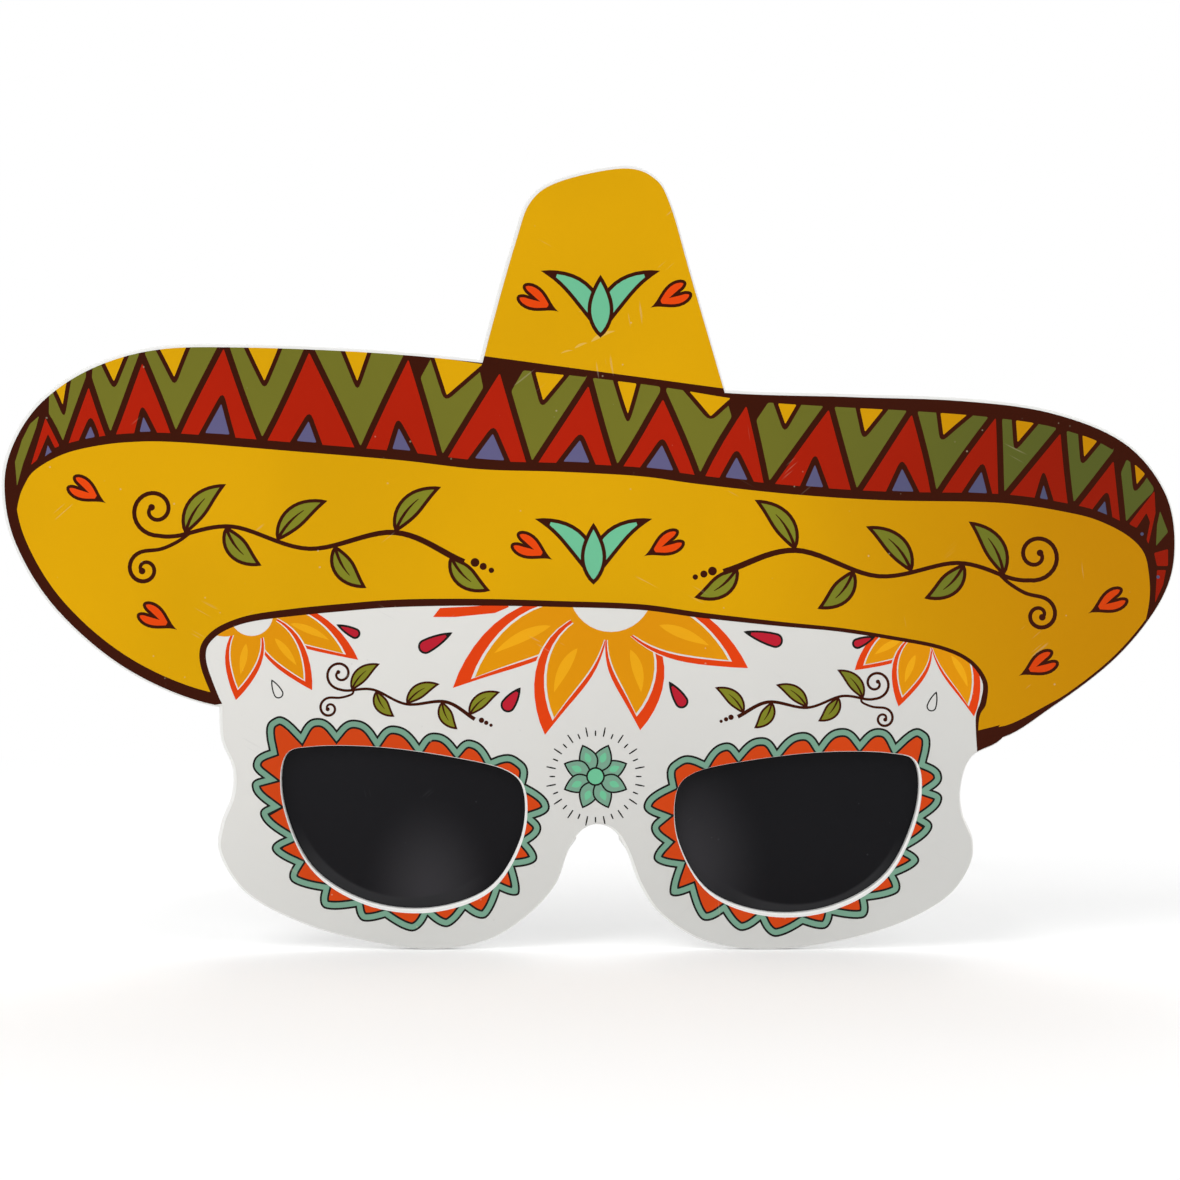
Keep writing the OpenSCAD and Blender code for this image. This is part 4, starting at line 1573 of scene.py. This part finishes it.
    def _eye_ring(self, eye: Plane, ring: Plane) -> None:
        """Scalloped ring round one eye opening, round over it and pointed under it.

        Args:
            eye: The opening's outline, counterclockwise.
            ring: The ring's outer tips and hollows in turn.
        """
        tips, hollows = ring[::2], ring[1::2]
        t = np.arange(14)[:, None] / 14
        parts = []
        for i, (start, tip, end) in enumerate(zip(np.roll(hollows, 1, 0), tips, hollows)):
            power = 1.7 + 0.7 * float(np.clip((tip[1] - 12) / 20, 0, 1))
            if i in self.corners:
                power = self.corner_power
            rise = 1 - np.abs(2 * t - 1) ** power
            parts.append(start + (end - start) * t + (tip - (start + end) / 2) * rise)
        line = counterclockwise(np.vstack(parts))
        for ink, by in (
            (Ink.BLACK, 0.0), (Ink.SAGE, self.ring_line),
            (Ink.BLACK, self.ring_w - self.ring_line), (Ink.RUST, self.ring_w),
        ):
            self.sheet.paint(ink, shifted(line, by))
        # Painted highlight: a pale strip round the opening, widest at its lower edge, where the edge is lit
        # from above.
        down = np.clip(side_steps(eye, closed=True, reach=1.0)[:, 1], 0, 1)
        self.sheet.paint(Ink.EDGE_HIGHLIGHT, shifted(eye, -0.02 - 0.3 * down**3))


@dataclass
class FrontPanel:
    """The moulded panel behind the film, with softly rounded edges."""

    edge_r: float = 0.28

    def build(self, material: Material) -> None:
        """Make the panel from the CAD panel's outline.

        Args:
            material: Its material.
        """
        node = "front_panel"
        mesh = rounded_plate("moulded_panel", face_loops(node, Axis.Y), node, self.edge_r, Axis.Y)
        settle(add_piece(mesh, material), "front", node)


@dataclass
class RearFrame:
    """The lens frame pegged to the panel's back, with the soft edges and fillets of a moulding."""

    voxel: float = 0.34
    smooth_passes: int = 5
    keep: float = 0.45

    def build(self, material: Material) -> None:
        """Make the frame from the CAD frame's own form.

        Args:
            material: Its material.
        """
        piece = add_piece(finished(cad_copy("rear_frame"), "moulded_frame"), material)
        modify(piece, "REMESH", mode="VOXEL", voxel_size=self.voxel * MM, use_smooth_shade=True)
        modify(piece, "SMOOTH", factor=0.5, iterations=self.smooth_passes)
        modify(piece, "DECIMATE", ratio=self.keep)
        baked(piece)
        settle(piece, "front", "rear_frame")


@dataclass
class Temple:
    """One temple with its rounded edges."""

    side: Side
    edge_r: float = 0.9

    def build(self, material: Material) -> None:
        """Make the temple from the CAD temple's outer face.

        Args:
            material: Its material.
        """
        node = self.side.of("temple")
        outline = face_loops(node, Axis.X, highest=self.side is Side.LEFT)[:1]
        mesh = rounded_plate(self.side.of("arm"), outline, node, self.edge_r, Axis.X)
        settle(add_piece(mesh, material), node, node)


@dataclass
class Hinge:
    """One hinge: two stamped leaves, a slotted screw and four rivets with domed heads."""

    side: Side
    material: Material
    edge_r: float = 0.1
    slot_w: float = 0.4
    slot_d: float = 0.3
    slot_turn: float = 25.0
    shank_share: float = 0.55
    dome_t: float = 0.4

    def build(self) -> None:
        """Make all the hinge's pieces."""
        temple = self.side.of("temple")
        self._leaf("frame_hinge", "front")
        self._leaf("temple_hinge", temple)
        self._screw()
        self._rivets("frame_rivets", "front", Axis.Y)
        self._rivets("temple_rivets", temple, Axis.X)

    def _leaf(self, node: str, body: str) -> None:
        """Stamped leaf with its knuckles, from the CAD leaf, with broken edges.

        Args:
            node: The CAD leaf without its side.
            body: What it rides on.
        """
        bm = cad_copy(self.side.of(node))
        bmesh.ops.dissolve_limit(bm, angle_limit=math.radians(1), verts=bm.verts, edges=bm.edges)
        piece = add_piece(finished(bm, self.side.of(f"{node}_leaf")), self.material)
        corner = math.radians(50)
        modify(piece, "BEVEL", width=self.edge_r * MM, segments=2, limit_method="ANGLE", angle_limit=corner)
        baked(piece)
        settle(piece, body, self.side.of(node))

    def _screw(self) -> None:
        """Screw with a chamfered, slotted head."""
        node = self.side.of("hinge_screw")
        low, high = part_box(node)
        foot_z, neck_z = (corner.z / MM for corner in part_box(self.side.of("frame_hinge")))
        head_r, top = (high.x - low.x) / 2 / MM, high.z / MM
        shank_r = head_r * self.shank_share
        profile = [
            (0, foot_z), (shank_r - 0.15, foot_z), (shank_r, foot_z + 0.15), (shank_r, neck_z),
            (head_r - 0.08, neck_z), (head_r, neck_z + 0.1), (head_r, top - 0.2), (head_r - 0.25, top),
            (0, top),
        ]
        piece = add_piece(finished(turned(profile), self.side.of("screw")), self.material)
        spin = Matrix.Rotation(math.radians(self.slot_turn * self.side.value), 4, "Z")
        size = Matrix.Diagonal((2.4 * head_r * MM, self.slot_w * MM, 2 * self.slot_d * MM, 1))
        cutter = bmesh.new()
        bmesh.ops.create_cube(cutter, size=1.0, matrix=spin @ Matrix.Translation((0, 0, top * MM)) @ size)
        knife = add_piece(finished(cutter, "slot_cutter"), self.material)
        modify(piece, "BOOLEAN", object=knife, solver="EXACT")
        baked(piece)
        bpy.data.objects.remove(knife)
        piece.data.transform(Matrix.Translation(((low.x + high.x) / 2, (low.y + high.y) / 2, 0)))
        piece.data.set_sharp_from_angle(angle=math.radians(SHARP_DEG))
        settle(piece, "front", node)

    def _rivets(self, node: str, body: str, axis: Axis) -> None:
        """Two rivets with domed heads.

        Args:
            node: The CAD rivets without their side.
            body: What they ride on.
            axis: The axis that they run along.
        """
        low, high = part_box(self.side.of(node))
        depth, along, up = axis.value
        head_r, length = (high[up] - low[up]) / 2 / MM, (high[depth] - low[depth]) / MM
        shank_r, neck = head_r * self.shank_share, length - self.dome_t
        dome = [(head_r * math.cos(a), neck + self.dome_t * math.sin(a)) for a in np.linspace(0.15, 1.45, 6)]
        profile = [(0, 0), (shank_r, 0), (shank_r, neck), (head_r, neck), *dome, (0, length)]
        head_high = axis is Axis.Y or self.side is Side.RIGHT
        whole = bmesh.new()
        for spot in (low[along] + head_r * MM, high[along] - head_r * MM):
            one = turned(profile, 20)
            for vert in one.verts:
                r, s, h = vert.co
                made = Vector()
                made[depth] = low[depth] + h if head_high else high[depth] - h
                made[along] = spot + r
                made[up] = (low[up] + high[up]) / 2 + s
                vert.co = made
            part = finished(one, "rivet")
            whole.from_mesh(part)
            bpy.data.meshes.remove(part)
        bmesh.ops.recalc_face_normals(whole, faces=whole.faces)
        piece = add_piece(finished(whole, self.side.of(f"{node}_domed")), self.material)
        settle(piece, body, self.side.of(node))


@dataclass
class Studio:
    """Camera, soft lamps, white surround and pale floor."""

    sheet: PrintSheet
    frame_w: float = 236.0
    distance: float = 450.0
    look_at: Point = (-1.9, 71.9)
    sensor: float = 36.0
    # Strength of the surround as a light, and of its dim front for reflections
    ambient: float = 0.62
    front_mirror: float = 0.06
    floor_half: float = 4.0
    floor_lift: float = 0.14
    # Lamps: name, place in metres, width in metres and power in watts
    lamps: tuple[tuple[str, Colour, float, float], ...] = (
        ("key", (-0.55, -0.75, 0.75), 0.7, 4.6),
        ("fill", (0.75, -0.6, 0.45), 0.8, 2.2),
        ("rear", (0.1, 0.9, 0.8), 0.8, 3.6),
    )

    def build(self) -> None:
        """Set up everything that isn't the object."""
        self._camera()
        self._world()
        self._lights()
        self._floor()
        bpy.context.scene.view_settings.view_transform = "Standard"

    def _camera(self) -> None:
        """Camera straight in front of the film."""
        data = bpy.data.cameras.new("camera")
        data.sensor_width = self.sensor
        data.lens = self.sensor * self.distance / self.frame_w
        data.clip_start = 0.01
        camera = bpy.data.objects.new("camera", data)
        across = (self.look_at[0] + self.sheet.middle, self.look_at[1])
        camera.location = Axis.Y.point(across, self.sheet.front - self.distance)
        camera.rotation_euler = (math.pi / 2, 0, 0)
        bpy.context.scene.collection.objects.link(camera)
        bpy.context.scene.camera = camera

    def _world(self) -> None:
        """White to the camera, grey as a light, and dim in front for reflections."""
        world = bpy.data.worlds.new("studio")
        bpy.context.scene.world = world
        world.use_nodes = True
        graph = Graph(world.node_tree)
        path = graph.add("LightPath").outputs
        toward = graph.split(graph.add("TexCoord").outputs["Generated"])[1]
        mirror = graph.ramp(toward, -0.75, 0.1, self.front_mirror, 1.0)
        light, mirrored, white = (
            graph.add("Background", {"Color": (1, 1, 1, 1), "Strength": strength})
            for strength in (self.ambient, mirror, 1.0)
        )
        straight = graph.math("MAXIMUM", path["Is Camera Ray"], path["Is Transmission Ray"])
        seen = graph.blend(straight, graph.blend(path["Is Glossy Ray"], light, mirrored), white)
        graph.add("OutputWorld", {"Surface": seen.outputs[0]})

    def _lights(self) -> None:
        """Large soft lamps around the object."""
        for name, place, size, power in self.lamps:
            data = bpy.data.lights.new(name, "AREA")
            data.size = size
            data.energy = power
            lamp = bpy.data.objects.new(name, data)
            lamp.location = place
            aim = Vector((0, 0, 0.07)) - Vector(place)
            lamp.rotation_euler = aim.to_track_quat("-Z", "Y").to_euler()
            bpy.context.scene.collection.objects.link(lamp)

    def _floor(self) -> None:
        """Pale floor that keeps the object's shadow and turns white further off."""
        bm = bmesh.new()
        bmesh.ops.create_grid(bm, x_segments=1, y_segments=1, size=self.floor_half)
        made = bpy.data.materials.new("pale_floor")
        made.use_nodes = True
        graph = Graph(made.node_tree)
        away = graph.add("VectorMath", {0: graph.place()}, operation="LENGTH").outputs["Value"]
        path = graph.add("LightPath").outputs
        seen = graph.math("MAXIMUM", path["Is Camera Ray"], path["Is Glossy Ray"])
        seen = graph.math("MAXIMUM", seen, path["Is Transmission Ray"])
        matt = graph.add("BsdfDiffuse", {"Color": (0.9, 0.9, 0.9, 1)})
        lift = graph.add("Emission", {"Strength": graph.math("MULTIPLY", seen, self.floor_lift)})
        near = graph.add("AddShader", {0: matt.outputs[0], 1: lift.outputs[0]})
        white = graph.add("Emission", {"Strength": graph.math("MAXIMUM", seen, self.ambient)})
        both = graph.blend(graph.ramp(away, 0.16, 0.5), near, white)
        graph.add("OutputMaterial", {"Surface": both.outputs[0]})
        floor = add_piece(finished(bm, "floor"), made)
        floor.location.z = -0.05 * MM


def main() -> None:
    """Build the sub-assemblies in order."""
    logging.basicConfig(level=logging.INFO, format="%(message)s")
    sheet = PrintSheet()
    Studio(sheet).build()
    surface = SurfaceGroup()
    white, steel = WHITE_PLASTIC.material(surface), HINGE_STEEL.material(surface)
    FrontPanel().build(white)
    RearFrame().build(white)
    left = SmokedSheet(middle=sheet.middle)
    # Painted light: the right lens is the same smoked sheet painted lighter, with its painted reflection in
    # another place.
    right = SmokedSheet("smoked_sheet_right", (20, 19, 22), (26, 26, 29), middle=sheet.middle,
                        reflection_at=(-34.0, 10.5), reflection_size=(14.5, 21.0))
    dress("print_film", PaintedLightFilm().material(surface))
    dress("left_lens", left.material(surface))
    dress("right_lens", right.material(surface))
    FacePrint(sheet).paint()
    HatPrint(sheet).paint()
    sheet.build(surface)
    for side in Side:
        Temple(side).build(white)
        Hinge(side, steel).build()


if __name__ == "__main__":
    main()
